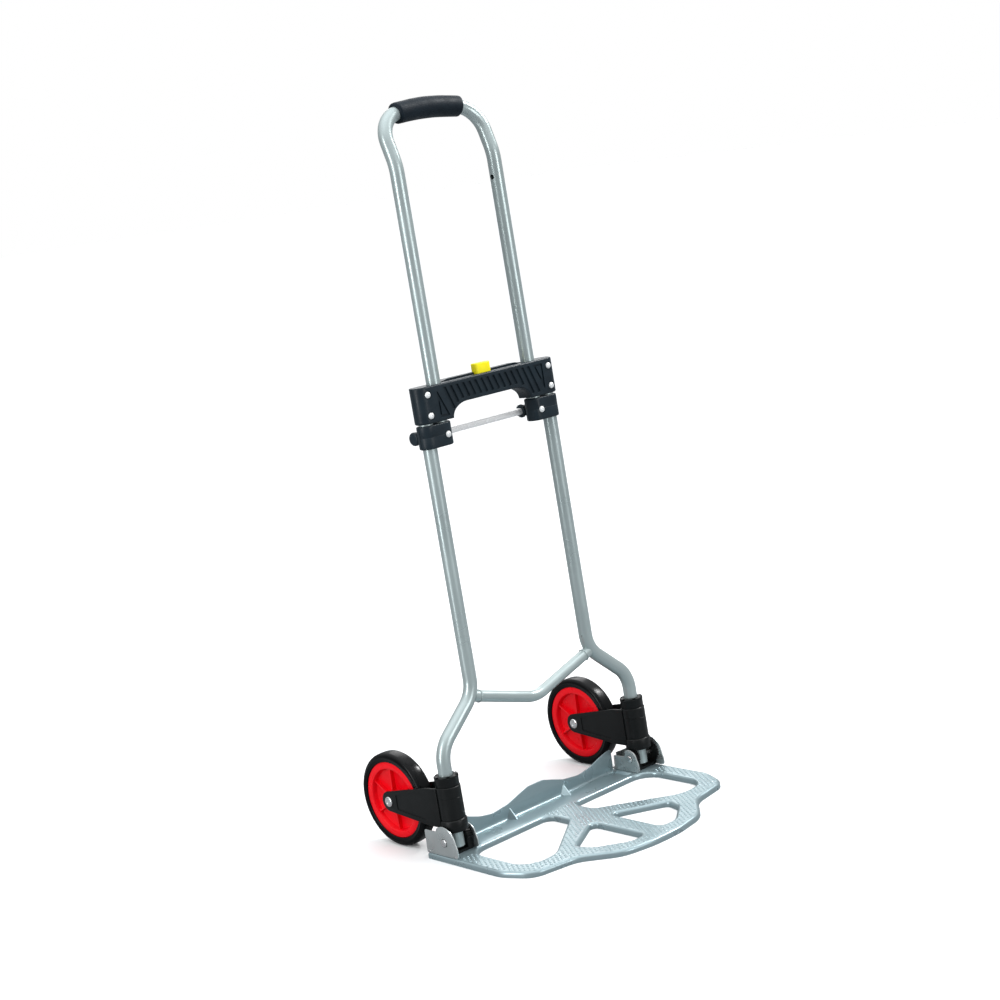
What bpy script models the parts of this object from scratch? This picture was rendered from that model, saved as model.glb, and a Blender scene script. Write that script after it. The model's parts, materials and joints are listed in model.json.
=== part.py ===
"""Folding hand truck: two leg tubes, a telescoping handle, a fold-up toe plate and two wheels that swing in.

Metres, +Z up, -Y to the front, ground at Z = 0. X is the width, and the truck is symmetric about X = 0.
Everything on the leaning frame is modelled in the frame's own axes (x, back, up), whose origin is the point
between the two toe-plate hinge pins, and is parented to the frame_axes empty, which leans back.
"""

import math

import bmesh
import bpy
from mathutils import Matrix, Vector

# ---------------------------------------------------------------- driving dimensions
GAP = 0.0003                  # clearance left between pieces that touch or slide
LEAN = math.radians(2.43)     # legs lean back from the vertical
PIN_Y = 0.0220                # hinge pins of the toe plate, on the leg axes
PIN_Z = 0.0310

TUBE_R = 0.0110               # leg and handle tubes, 22 mm outside
TUBE_WALL = 0.0015
TUBE_SIDES = 16

LEG_X_LOW = 0.2055            # leg axis inside the wheel sleeve
LEG_X_HIGH = 0.1270           # leg axis above the bend
LEG_BOTTOM = -0.0120          # heights along the frame, from the hinge pins
LEG_TOP = 0.6725
LEG_BEND_LOW = 0.1385
LEG_BEND_HIGH = 0.2045
LEG_BEND_R = 0.050

CROSSBAR_R = 0.0090
CROSSBAR_WALL = 0.0015
CROSSBAR_END_UP = 0.2000
CROSSBAR_MID_UP = 0.1610
CROSSBAR_BEND_R = 0.060

HANDLE_X = 0.0987
HANDLE_BOTTOM = 0.5895
HANDLE_KINK_UP = 1.0050
HANDLE_KINK_R = 0.090
HANDLE_CORNER_UP = 1.0795
HANDLE_CORNER_BACK = 0.0227
HANDLE_CORNER_R = 0.045
HANDLE_MID_UP = 1.0880
HANDLE_MID_BACK = 0.0250
HANDLE_MID_R = 0.400
HANDLE_TRAVEL = 0.3060

GRIP_R = 0.0168
GRIP_HALF = 0.0640

BRACKET_LOW = 0.6228
BRACKET_HIGH = 0.6785
BRACKET_ARCH_UP = 0.6438
BRACKET_ARCH_HALF = 0.0500
BRACKET_ARCH_FOOT = 0.0820
BRACKET_DEPTH = 0.0160        # half depth, front to back
BRACKET_CROWN = 0.0030        # how much the rear shell stands above the front one
SCREW_X = 0.1265
SCREW_UPS = (0.6345, 0.6660)
SCREW_HEAD_R = 0.0050
SCREW_SHANK_R = 0.0020

LOCK_UP = 0.6620
LOCK_PIN_R = 0.0040
LOCK_TRAVEL = 0.0050
BUTTON_HALF = 0.0155
BUTTON_DEPTH = 0.0068
BUTTON_TOP = 0.6945
SPRING_R = 0.0042
SPRING_WIRE_R = 0.0006
SPRING_TURNS = 4

SLIDER_LOW = 0.5850
SLIDER_HIGH = 0.6205
SLIDER_R = 0.0150             # half depth of a slider and radius of its round ends
SLIDER_SCREW_UP = 0.6015
ROD_BACK = 0.0270
ROD_UP = 0.6010
ROD_R = 0.0055
ROD_END_R = 0.0105
ROD_SOCKET_X = (0.0905, 0.0965)
ROD_LUG_X = (0.0968, 0.1262)
ROD_CAP_X = (0.1265, 0.1345)

SLEEVE_R = 0.0195
SLEEVE_LOW = 0.0125
SLEEVE_HIGH = 0.0835
RING_R = 0.0210
RING_SEAT_R = 0.0170
RING_LOW = 0.0135
RING_HIGH = 0.0320
COLLAR_R = 0.0190
COLLAR_HIGH = 0.1000

WHEEL_R = 0.0750
WHEEL_HALF = 0.0140
WHEEL_Y = 0.1484
RIM_R = 0.0610
RIM_HALF = 0.0120
RIM_WEB_HALF = 0.0030
RIM_RING_IN = 0.0500
HUB_R = 0.0130
HUB_HALF = 0.0135
AXLE_R = 0.0050
BUSH_R = 0.0080
ARM_OUT = 0.0205
ARM_IN = 0.0165
ARM_END_R = 0.0160
ARM_FRONT_LOW = 0.0212       # clear of the folded hinge ears
AXLE_CAP_R = 0.0082
AXLE_CAP_HIGH = 0.0032

PLATE_TOP = 0.0095
PLATE_SHEET = 0.0020
PLATE_NOSE_Y = -0.2234
WALL_Y = 0.0590
WALL_HALF = 0.1760
EAR_IN = 0.1795               # bracket ears, from the inner one's inner face to the outer one's outer face
EAR_OUT = 0.2315
EAR_SHEET = 0.0020
EAR_REAR = 0.0425             # outer ears reach this far behind the pin
INNER_EAR_REAR = 0.0365
HINGE_PIN_R = 0.0040
CAM_R = 0.0125                # toothed cheek under the fork's ring
CAM_GEAR_R = 0.0200           # toothed disc beside the outer ear
CAM_GEAR_THICK = 0.0022
CAM_FOOT_HIGH = -0.0170
TOOTH_DEPTH = 0.0016

ASIDE = {"left": -1, "right": 1}


# ---------------------------------------------------------------- scene helpers
def clear_scene():
    for old in list(bpy.data.objects):
        bpy.data.objects.remove(old, do_unlink=True)


def material(name, color, roughness, metallic):
    made = bpy.data.materials.new(name)
    made.use_nodes = True
    shader = made.node_tree.nodes["Principled BSDF"]
    shader.inputs["Base Color"].default_value = (*color, 1.0)
    shader.inputs["Roughness"].default_value = roughness
    shader.inputs["Metallic"].default_value = metallic
    made.diffuse_color = (*color, 1.0)
    return made


def empty(name, location, rotation=(0, 0, 0)):
    made = bpy.data.objects.new(name, None)
    made.location = location
    made.rotation_euler = rotation
    bpy.context.collection.objects.link(made)
    return made


def solid(name, bm, paint, parent=None, sharp=40):
    bmesh.ops.recalc_face_normals(bm, faces=bm.faces)
    mesh = bpy.data.meshes.new(name)
    bm.to_mesh(mesh)
    bm.free()
    mesh.shade_smooth()
    mesh.set_sharp_from_angle(angle=math.radians(sharp))
    made = bpy.data.objects.new(name, mesh)
    made.parent = parent
    if paint:
        mesh.materials.append(paint)
    bpy.context.collection.objects.link(made)
    return made


def boolean(target, tool, operation):
    step = target.modifiers.new(operation.lower(), "BOOLEAN")
    step.operation = operation
    step.object = tool
    step.solver = "EXACT"
    tool.hide_render = True
    tool.display_type = "WIRE"


def cut(target, *tools):
    for tool in tools:
        boolean(target, tool, "DIFFERENCE")


def join(target, *tools):
    for tool in tools:
        boolean(target, tool, "UNION")


# ---------------------------------------------------------------- outlines and paths
def arc(center, radius, start, end, steps):
    """Points on an arc, angles in degrees, both ends included."""
    angles = [math.radians(start + (end - start) * k / steps) for k in range(steps + 1)]
    return [(center[0] + radius * math.cos(a), center[1] + radius * math.sin(a)) for a in angles]


def rounded(corners, closed=True):
    """A polyline with each corner (point, radius, steps) replaced by an arc of that radius."""
    points = []
    count = len(corners)
    for index, (point, radius, steps) in enumerate(corners):
        here = Vector(point)
        if not closed and index in (0, count - 1) or radius == 0:
            points.append(here)
            continue
        to_last = (Vector(corners[index - 1][0]) - here).normalized()
        to_next = (Vector(corners[(index + 1) % count][0]) - here).normalized()
        half = to_last.angle(to_next) / 2
        middle = here + (to_last + to_next).normalized() * radius / math.sin(half)
        first = here + to_last * radius / math.tan(half) - middle
        last = here + to_next * radius / math.tan(half) - middle
        turn = first.angle(last)
        for k in range(steps + 1):
            share = k / steps
            spoke = first * math.sin((1 - share) * turn) + last * math.sin(share * turn)
            points.append(middle + spoke / math.sin(turn))
    return points


def offset(points, distance):
    """A closed flat outline moved sideways; a positive distance moves a counter-clockwise one outwards."""
    moved = []
    count = len(points)
    for index, point in enumerate(points):
        before = (Vector(point) - Vector(points[index - 1])).normalized()
        after = (Vector(points[(index + 1) % count]) - Vector(point)).normalized()
        normal = Vector((before.y + after.y, -before.x - after.x)).normalized()
        stretch = max(0.5, normal.dot(Vector((after.y, -after.x))))
        moved.append(Vector(point) + normal * distance / stretch)
    return moved


def mirrored(half):
    """A closed outline from its right half, listed from the rear centre line round to the front one."""
    return [Vector(p) for p in half] + [Vector((-p[0], p[1])) for p in reversed(half) if abs(p[0]) > 1e-6]


# ---------------------------------------------------------------- solids
def prism(outline, low, high, place):
    """A flat outline made solid between two levels; place(a, b, level) gives the point in space."""
    bm = bmesh.new()
    rings = [[bm.verts.new(place(a, b, level)) for a, b in outline] for level in (low, high)]
    count = len(outline)
    for k in range(count):
        n = (k + 1) % count
        bm.faces.new((rings[0][k], rings[0][n], rings[1][n], rings[1][k]))
    bm.faces.new(list(reversed(rings[0])))
    bm.faces.new(rings[1])
    return bm


def across_x(a, b, level):
    """Outline in (back, up), solid along x."""
    return (level, a, b)


def across_y(a, b, level):
    """Outline in (x, up), solid from front to back."""
    return (a, level, b)


def across_z(a, b, level):
    """Outline in (x, y), solid upwards."""
    return (a, b, level)


def rod(radius, start, end, sides=TUBE_SIDES):
    """A plain round bar between two points."""
    start, end = Vector(start), Vector(end)
    axis = end - start
    turn = axis.to_track_quat("Z", "Y").to_matrix().to_4x4()
    bm = bmesh.new()
    bmesh.ops.create_cone(bm, cap_ends=True, segments=sides, radius1=radius, radius2=radius,
                          depth=axis.length, matrix=Matrix.Translation((start + end) / 2) @ turn)
    return bm


def box(low, high):
    bm = bmesh.new()
    size = Vector(high) - Vector(low)
    middle = (Vector(high) + Vector(low)) / 2
    bmesh.ops.create_cube(bm, size=1, matrix=Matrix.Translation(middle) @ Matrix.Diagonal((*size, 1)))
    return bm


def turned(profile, sides, axis_point=(0, 0, 0), axis="x"):
    """A closed (radius, length) profile turned once round an axis that runs along x or z; a profile point
    of radius 0 lies on the axis."""
    bm = bmesh.new()
    rings = []
    for radius, along in profile:
        ring = []
        for k in range(sides if radius > 0 else 1):
            a = 2 * math.pi * k / sides
            u, v = radius * math.cos(a), radius * math.sin(a)
            offset_by = (along, u, v) if axis == "x" else (u, v, along)
            ring.append(bm.verts.new(Vector(axis_point) + Vector(offset_by)))
        rings.append(ring)
    for this, then in zip(rings, rings[1:] + rings[:1]):
        for k in range(sides):
            n = (k + 1) % sides
            quad = [this[k % len(this)], this[n % len(this)], then[n % len(then)], then[k % len(then)]]
            corners = list(dict.fromkeys(quad))
            if len(corners) > 2:
                bm.faces.new(corners)
    return bm


def swept(path, outer, inner=0.0, sides=TUBE_SIDES):
    """A round bar along a path, or an open-ended tube where inner is more than 0."""
    points = [Vector(p) for p in path]
    tangents = []
    for k in range(len(points)):
        ahead = points[min(k + 1, len(points) - 1)] - points[k]
        behind = points[k] - points[max(k - 1, 0)]
        tangents.append((ahead.normalized() + behind.normalized()).normalized())
    side = tangents[0].orthogonal().normalized()
    bm = bmesh.new()
    layers = {radius: [] for radius in (outer, inner) if radius > 0}
    for k, point in enumerate(points):
        if k:
            side = (tangents[k - 1].rotation_difference(tangents[k]) @ side).normalized()
        other = tangents[k].cross(side)
        for radius, rings in layers.items():
            ring = []
            for s in range(sides):
                a = 2 * math.pi * (s + 0.5) / sides
                ring.append(bm.verts.new(point + radius * (side * math.cos(a) + other * math.sin(a))))
            rings.append(ring)
    for rings in layers.values():
        for this, then in zip(rings, rings[1:]):
            for s in range(sides):
                n = (s + 1) % sides
                bm.faces.new((this[s], this[n], then[n], then[s]))
    shell = layers[outer]
    for end in (0, -1):
        if inner > 0:
            core = layers[inner]
            for s in range(sides):
                n = (s + 1) % sides
                bm.faces.new((shell[end][s], shell[end][n], core[end][n], core[end][s]))
        else:
            bm.faces.new(shell[end])
    return bm


# ---------------------------------------------------------------- frame: legs, crossbar, bracket
def leg_path(side):
    corners = [((LEG_X_LOW, 0, LEG_BOTTOM), 0, 0), ((LEG_X_LOW, 0, LEG_BEND_LOW), LEG_BEND_R, 4),
               ((LEG_X_HIGH, 0, LEG_BEND_HIGH), LEG_BEND_R, 4), ((LEG_X_HIGH, 0, LEG_TOP), 0, 0)]
    return [(side * p.x, p.y, p.z) for p in rounded(corners, closed=False)]


def leg_tube(name, side, axes, paint):
    tube = solid(f"{name}_leg_tube", swept(leg_path(side), TUBE_R, TUBE_R - TUBE_WALL), paint, axes)
    pin_hole = rod(HINGE_PIN_R + GAP, (side * (LEG_X_LOW - 0.02), 0, 0), (side * (LEG_X_LOW + 0.02), 0, 0))
    cut(tube, solid(f"{name}_leg_pin_hole", pin_hole, None, axes))
    for number, up in enumerate(SCREW_UPS, 1):
        hole = rod(SCREW_SHANK_R + GAP, (side * SCREW_X, -0.02, up), (side * SCREW_X, 0, up), 10)
        cut(tube, solid(f"{name}_leg_screw_hole_{number}", hole, None, axes))
    return tube


def crossbar(axes, paint):
    ends = LEG_X_HIGH + 0.006
    corners = [((-ends, 0, CROSSBAR_END_UP), 0, 0), ((0, 0, CROSSBAR_MID_UP), CROSSBAR_BEND_R, 4),
               ((ends, 0, CROSSBAR_END_UP), 0, 0)]
    path = rounded(corners, closed=False)
    bar = solid("crossbar", swept(path, CROSSBAR_R, CROSSBAR_R - CROSSBAR_WALL, 14), paint, axes)
    for name, side in ASIDE.items():
        cut(bar, solid(f"{name}_crossbar_saddle", swept(leg_path(side), TUBE_R + GAP), None, axes))
    return bar


def bracket_outline(crown):
    """Half of the bracket seen from the front: raised middle, square ends, and the hand's arch below."""
    low, high, reach = BRACKET_LOW, BRACKET_HIGH, LEG_X_HIGH
    arch = [(BRACKET_ARCH_HALF + (BRACKET_ARCH_FOOT - BRACKET_ARCH_HALF) * math.sin(a),
             BRACKET_ARCH_UP - (BRACKET_ARCH_UP - low) * (1 - math.cos(a)))
            for a in (math.radians(d) for d in (0, 25, 50, 70, 90))]
    top = [(reach, high), (0.085, high), (0.070, high + crown), (0, high + crown)]
    half = [(0, BRACKET_ARCH_UP)] + arch + [(reach, low)] + top
    return mirrored(half)


def bracket_shell(name, front, axes, paint):
    """One half of the black bracket, bored for the legs, the handle and the lock pins."""
    reach, depth = LEG_X_HIGH, BRACKET_DEPTH
    crown = 0.0 if front else BRACKET_CROWN
    levels = (-depth, -GAP / 2) if front else (GAP / 2, depth)
    shell = solid(name, prism(bracket_outline(crown), *levels, across_y), paint, axes)
    for end, side in ASIDE.items():
        turns = (180, 360) if front else (0, 180)
        shift = -GAP / 2 if front else GAP / 2
        cap = [(side * reach + x, y + shift) for x, y in arc((0, 0), depth, *turns, 12)]
        join(shell, solid(f"{name}_{end}_end", prism(cap, BRACKET_LOW, BRACKET_HIGH, across_z), None, axes))
    for end, side in ASIDE.items():
        leg = rod(TUBE_R + GAP, (side * reach, 0, BRACKET_LOW - 0.01), (side * reach, 0, LEG_TOP + GAP))
        slide = rod(TUBE_R + 2 * GAP, (side * HANDLE_X, 0, BRACKET_LOW - 0.01),
                    (side * HANDLE_X, 0, BRACKET_HIGH + 0.01))
        cut(shell, solid(f"{name}_{end}_leg_bore", leg, None, axes),
            solid(f"{name}_{end}_handle_bore", slide, None, axes))
        if front:
            for number, up in enumerate(SCREW_UPS, 1):
                hole = rod(SCREW_SHANK_R + GAP, (side * SCREW_X, -0.03, up), (side * SCREW_X, 0, up), 10)
                cut(shell, solid(f"{name}_{end}_screw_hole_{number}", hole, None, axes))
    pins = rod(LOCK_PIN_R + GAP, (-HANDLE_X, 0, LOCK_UP), (HANDLE_X, 0, LOCK_UP), 12)
    well_half, well_depth = BUTTON_HALF + GAP, BUTTON_DEPTH + GAP
    well = box((-well_half, -well_depth, LOCK_UP - 0.0065), (well_half, well_depth, BRACKET_HIGH + 0.02))
    cut(shell, solid(f"{name}_pin_channel", pins, None, axes),
        solid(f"{name}_button_well", well, None, axes))
    return shell


def screw(name, x, up, face, grip, axes, paint, head_r=SCREW_HEAD_R):
    """A round-headed screw whose head stands in front of a face that faces forward."""
    high = 0.0026
    profile = [(0, -face - high), (head_r * 0.55, -face - high * 0.92), (head_r * 0.88, -face - high * 0.55),
               (head_r, -face - GAP), (SCREW_SHANK_R, -face - GAP), (SCREW_SHANK_R, -face + grip),
               (0, -face + grip)]
    bm = turned(profile, 10, axis="z")
    bmesh.ops.rotate(bm, verts=bm.verts, cent=(0, 0, 0), matrix=Matrix.Rotation(math.radians(-90), 3, "X"))
    bmesh.ops.translate(bm, verts=bm.verts, vec=(x, 0, up))
    return solid(name, bm, paint, axes)


def lock_parts(axes, button_paint, steel):
    """The yellow push button, its return spring and the two lock pins that it draws inwards."""
    stem_low = LOCK_UP + LOCK_TRAVEL + 0.0045
    half, depth, top = BUTTON_HALF, BUTTON_DEPTH, BUTTON_TOP
    outline = rounded([((-half, -depth), 0.004, 3), ((half, -depth), 0.004, 3),
                       ((half, depth), 0.004, 3), ((-half, depth), 0.004, 3)])
    block = prism([(p.x, p.y) for p in outline], stem_low, top, across_z)
    button = solid("lock_button", block, button_paint, axes)
    well = rod(SPRING_R + 2 * SPRING_WIRE_R + GAP, (0, 0, stem_low - 0.01), (0, 0, stem_low + 0.012), 16)
    cut(button, solid("lock_button_spring_pocket", well, None, axes))
    low, high = LOCK_UP - 0.0055, stem_low + 0.0110
    steps = SPRING_TURNS * 8
    helix = [(SPRING_R * math.cos(2 * math.pi * k / 8), SPRING_R * math.sin(2 * math.pi * k / 8),
              low + (high - low) * k / steps) for k in range(steps + 1)]
    solid("button_spring", swept(helix, SPRING_WIRE_R, sides=5), steel, axes)
    tip = HANDLE_X - TUBE_R - 2 * GAP
    for name, side in ASIDE.items():
        pin = rod(LOCK_PIN_R, (side * 0.0120, 0, LOCK_UP), (side * tip, 0, LOCK_UP), 12)
        solid(f"{name}_lock_pin", pin, steel, axes)


# ---------------------------------------------------------------- handle
def handle_path():
    corners = [((-HANDLE_X, 0, HANDLE_BOTTOM), 0, 0), ((-HANDLE_X, 0, HANDLE_KINK_UP), HANDLE_KINK_R, 3),
               ((-HANDLE_X, HANDLE_CORNER_BACK, HANDLE_CORNER_UP), HANDLE_CORNER_R, 5),
               ((0, HANDLE_MID_BACK, HANDLE_MID_UP), HANDLE_MID_R, 2),
               ((HANDLE_X, HANDLE_CORNER_BACK, HANDLE_CORNER_UP), HANDLE_CORNER_R, 5),
               ((HANDLE_X, 0, HANDLE_KINK_UP), HANDLE_KINK_R, 3), ((HANDLE_X, 0, HANDLE_BOTTOM), 0, 0)]
    return rounded(corners, closed=False)


def handle_tube(axes, paint):
    tube = solid("handle_tube", swept(handle_path(), TUBE_R, TUBE_R - TUBE_WALL), paint, axes)
    for name, side in ASIDE.items():
        for level, up in (("low", LOCK_UP), ("high", LOCK_UP + HANDLE_TRAVEL)):
            hole = rod(LOCK_PIN_R + GAP, (side * (HANDLE_X - 0.02), 0, up), (side * HANDLE_X, 0, up), 12)
            cut(tube, solid(f"{name}_{level}_lock_hole", hole, None, axes))
    return tube


def grip(axes, paint):
    """The foam sleeve on the handle's top bar, on the same gentle arch."""
    line = [Vector(p) for p in handle_path()]
    bar = [p for p in line if abs(p.x) < GRIP_HALF]
    below = [p for p in line if p.x <= -GRIP_HALF][-1]
    share = (GRIP_HALF + below.x) / (below.x - bar[0].x)
    start = below.lerp(bar[0], share)
    end = Vector((-start.x, start.y, start.z))
    return solid("grip", swept([start] + bar + [end], GRIP_R, TUBE_R + GAP), paint, axes)


def slider_half(name, side, front, axes, paint):
    """Half of a slider: it runs on the leg and clamps the bottom of the handle tube."""
    inner, outer, depth = HANDLE_X, LEG_X_HIGH, SLIDER_R
    shift = -GAP if front else GAP
    if front:
        outline = arc((inner, shift), depth, 180, 270, 6) + arc((outer, shift), depth, 270, 360, 6)
    else:
        outline = arc((outer, shift), depth, 0, 90, 6) + arc((inner, shift), depth, 90, 180, 6)
    outline = [(side * x, y) for x, y in outline]
    half = solid(name, prism(outline, SLIDER_LOW, SLIDER_HIGH, across_z), paint, axes)
    for label, x, play in (("leg", outer, 2 * GAP), ("handle", inner, GAP)):
        bore = rod(TUBE_R + play, (side * x, 0, SLIDER_LOW - 0.01), (side * x, 0, SLIDER_HIGH + 0.01))
        cut(half, solid(f"{name}_{label}_bore", bore, None, axes))
    if front:
        x, up = side * inner, SLIDER_SCREW_UP
        hole = rod(SCREW_SHANK_R + GAP, (x, -0.03, up), (x, 0, up), 10)
        cut(half, solid(f"{name}_screw_hole", hole, None, axes))
    else:
        lug = rounded([((0.0120, ROD_UP + 0.0085), 0.002, 2), ((0.0120, ROD_UP - 0.0085), 0.002, 2),
                       ((ROD_BACK + 0.0095, ROD_UP - 0.0085), 0.006, 3),
                       ((ROD_BACK + 0.0095, ROD_UP + 0.0085), 0.006, 3)])
        ends = sorted(side * x for x in ROD_LUG_X)
        join(half, solid(f"{name}_lug", prism([(p.x, p.y) for p in lug], *ends, across_x), None, axes))
        bore = rod(ROD_R + GAP, (side * 0.09, ROD_BACK, ROD_UP), (side * 0.14, ROD_BACK, ROD_UP))
        cut(half, solid(f"{name}_rod_bore", bore, None, axes))
    return half


def tie_rod(axes, steel, plastic):
    """The bright rod behind the sliders, with a ribbed socket inside and a round cap outside each one."""
    reach = ROD_CAP_X[1] - 0.004
    solid("tie_rod", rod(ROD_R, (-reach, ROD_BACK, ROD_UP), (reach, ROD_BACK, ROD_UP)), steel, axes)
    for name, side in ASIDE.items():
        bore = ROD_R + GAP
        ribs = []
        for k in range(32):
            radius = ROD_END_R if k % 2 else ROD_END_R - 0.0012
            a = 2 * math.pi * k / 32
            ribs.append((ROD_BACK + radius * math.cos(a), ROD_UP + radius * math.sin(a)))
        ends = sorted(side * x for x in ROD_SOCKET_X)
        socket = solid(f"{name}_rod_socket", prism(ribs, *ends, across_x), plastic, axes)
        start, end = side * (ROD_SOCKET_X[0] - 0.01), side * (ROD_SOCKET_X[1] + 0.01)
        hollow = rod(bore, (start, ROD_BACK, ROD_UP), (end, ROD_BACK, ROD_UP))
        cut(socket, solid(f"{name}_rod_socket_bore", hollow, None, axes))
        a, b = ROD_CAP_X
        deep = reach + GAP
        profile = [(bore, a), (ROD_END_R, a), (ROD_END_R, b - 0.004), (ROD_END_R * 0.8, b - 0.0012),
                   (ROD_END_R * 0.45, b), (0, b), (0, deep), (bore, deep)]
        profile = [(radius, side * along) for radius, along in profile]
        solid(f"{name}_rod_cap", turned(profile, 16, (0, ROD_BACK, ROD_UP)), plastic, axes)


# ---------------------------------------------------------------- wheel side: collar, fork, wheel
def axle_point(side):
    """The axle's centre in the frame's leaning axes."""
    back, up = WHEEL_Y - PIN_Y, WHEEL_R - PIN_Z
    return Vector((side * LEG_X_LOW, back * math.cos(LEAN) - up * math.sin(LEAN),
                   up * math.cos(LEAN) + back * math.sin(LEAN)))


def ring(name, radius, bore, low, high, center_x, axes, paint, notches=0):
    profile = [(bore, low), (radius, low), (radius, high), (bore, high)]
    made = solid(name, turned(profile, 28, (center_x, 0, 0), "z"), paint, axes)
    for k in range(notches):
        a = 2 * math.pi * (k + 0.5) / notches
        tool = box((-0.003, radius - 0.004, high - 0.0025), (0.003, radius + 0.002, high + 0.002))
        bmesh.ops.rotate(tool, verts=tool.verts, cent=(0, 0, 0), matrix=Matrix.Rotation(a, 3, "Z"))
        bmesh.ops.translate(tool, verts=tool.verts, vec=(center_x, 0, 0))
        cut(made, solid(f"{name}_notch_{k + 1}", tool, None, axes))
    return made


def wheel_fork(name, side, axes, paint):
    """Black sleeve that turns on the leg, with an arm down each side of the wheel."""
    x = side * LEG_X_LOW
    shoulder, top = RING_HIGH + GAP, SLEEVE_HIGH - GAP
    profile = [(0, SLEEVE_LOW), (RING_SEAT_R, SLEEVE_LOW), (RING_SEAT_R, shoulder), (SLEEVE_R, shoulder),
               (SLEEVE_R, top), (0, top)]
    fork = solid(f"{name}_wheel_fork", turned(profile, 28, (x, 0, 0), "z"), paint, axes)
    axle = axle_point(side)
    root = math.sqrt(SLEEVE_R ** 2 - ARM_IN ** 2) - 0.004
    arm = [(root, RING_HIGH + 2 * GAP), (RING_R + 2 * GAP, RING_HIGH + 2 * GAP),
           (RING_R + 2 * GAP, ARM_FRONT_LOW), (0.0340, ARM_FRONT_LOW + 0.0006)]
    arm += arc((axle.y, axle.z), ARM_END_R, -80, 80, 8)
    arm += [(0.0300, SLEEVE_HIGH - 0.0022), (root, SLEEVE_HIGH - 0.0006)]
    for label, way in (("outer", side), ("inner", -side)):
        ends = sorted((x + way * ARM_IN, x + way * ARM_OUT))
        join(fork, solid(f"{name}_fork_{label}_arm", prism(arm, *ends, across_x), None, axes))
    web = box((x - ARM_IN - 0.001, root, RING_HIGH + 2 * GAP), (x + ARM_IN + 0.001, root + 0.012, 0.0780))
    join(fork, solid(f"{name}_fork_web", web, None, axes))
    bore = rod(AXLE_R + GAP, (x - 0.03, axle.y, axle.z), (x + 0.03, axle.y, axle.z))
    leg = rod(TUBE_R + GAP, (x, 0, SLEEVE_LOW - 0.01), (x, 0, SLEEVE_HIGH + 0.01))
    cut(fork, solid(f"{name}_fork_axle_bore", bore, None, axes),
        solid(f"{name}_fork_leg_bore", leg, None, axes))
    return fork


def wheel(name, side, paints):
    """Tyre, red rim, bush, axle and its two caps, about the axle in world axes."""
    x, y, z = side * LEG_X_LOW, WHEEL_Y, WHEEL_R
    center = empty(f"{name}_wheel_axis", (x, y, z))
    half, shoulder = WHEEL_HALF, 0.0035
    seat = RIM_R + GAP
    tyre = [(seat, -half + 0.0015), (seat + 0.004, -half), (WHEEL_R - shoulder, -half),
            (WHEEL_R - 0.0010, -half + shoulder * 0.75), (WHEEL_R, -half + shoulder * 1.8),
            (WHEEL_R, half - shoulder * 1.8), (WHEEL_R - 0.0010, half - shoulder * 0.75),
            (WHEEL_R - shoulder, half), (seat + 0.004, half), (seat, half - 0.0015)]
    solid(f"{name}_tyre", turned(tyre, 40), paints["rubber"], center)
    bore = BUSH_R + GAP
    half_rim = [(bore, -HUB_HALF), (HUB_R, -HUB_HALF), (HUB_R + 0.001, -RIM_WEB_HALF),
                (RIM_RING_IN - 0.001, -RIM_WEB_HALF), (RIM_RING_IN + 0.002, -RIM_HALF), (RIM_R, -RIM_HALF)]
    rim = half_rim + [(radius, -along) for radius, along in reversed(half_rim)]
    solid(f"{name}_rim", turned(rim, 36), paints["rim"], center)
    bush = [(AXLE_R + GAP, -HUB_HALF - 0.001), (BUSH_R, -HUB_HALF - 0.001), (BUSH_R, HUB_HALF + 0.001),
            (AXLE_R + GAP, HUB_HALF + 0.001)]
    solid(f"{name}_bush", turned(bush, 16), paints["plastic"], center)
    reach = ARM_OUT + 0.0008
    solid(f"{name}_axle", rod(AXLE_R, (-reach, 0, 0), (reach, 0, 0)), paints["steel"], center)
    for label, way in (("outer", side), ("inner", -side)):
        low, high = ARM_OUT + GAP, ARM_OUT + AXLE_CAP_HIGH
        bore, deep = AXLE_R + GAP, reach + GAP
        cap = [(bore, low), (AXLE_CAP_R, low), (AXLE_CAP_R * 0.9, low + 0.0012),
               (AXLE_CAP_R * 0.6, high - 0.0004), (0, high), (0, deep), (bore, deep)]
        bm = turned([(radius, way * along) for radius, along in cap], 14)
        solid(f"{name}_{label}_axle_cap", bm, paints["steel"], center)


# ---------------------------------------------------------------- toe plate
def plate_half_outline():
    """Right half of the plate seen from above, from the rear centre line round to the nose."""
    y = PLATE_NOSE_Y
    corners = [((0, WALL_Y + 0.002), 0, 0), ((0.1785, WALL_Y + 0.002), 0, 0),
               ((0.1785, WALL_Y + 0.006), 0, 0),
               ((0.2325, WALL_Y + 0.006), 0.004, 2), ((0.2335, y + 0.1240), 0.050, 4),
               ((0.2120, y + 0.0745), 0.036, 6), ((0.1350, y + 0.0605), 0.050, 5),
               ((0.0860, y + 0.0120), 0.070, 5), ((0.0300, y + 0.0010), 0, 0), ((0, y), 0, 0)]
    return [(p[0], p[1]) for p in rounded(corners, closed=False)]


def large_hole(side):
    y = PLATE_NOSE_Y
    corners = [((0.0270, y + 0.2300), 0.016, 4), ((0.0280, y + 0.1840), 0.014, 3),
               ((0.1400, y + 0.1010), 0.050, 4), ((0.1985, y + 0.1010), 0.033, 6),
               ((0.1990, y + 0.2300), 0.034, 6)]
    points = rounded(corners)
    return points if side > 0 else [Vector((-p.x, p.y)) for p in reversed(points)]


def small_hole(side):
    y = PLATE_NOSE_Y
    corners = [((0.0190, y + 0.1440), 0.009, 3), ((0.0190, y + 0.0320), 0.012, 4),
               ((0.0500, y + 0.0320), 0.030, 3), ((0.0955, y + 0.0670), 0.016, 3),
               ((0.1030, y + 0.0945), 0.010, 4)]
    points = rounded(corners)
    return points if side > 0 else [Vector((-p.x, p.y)) for p in reversed(points)]


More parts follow.
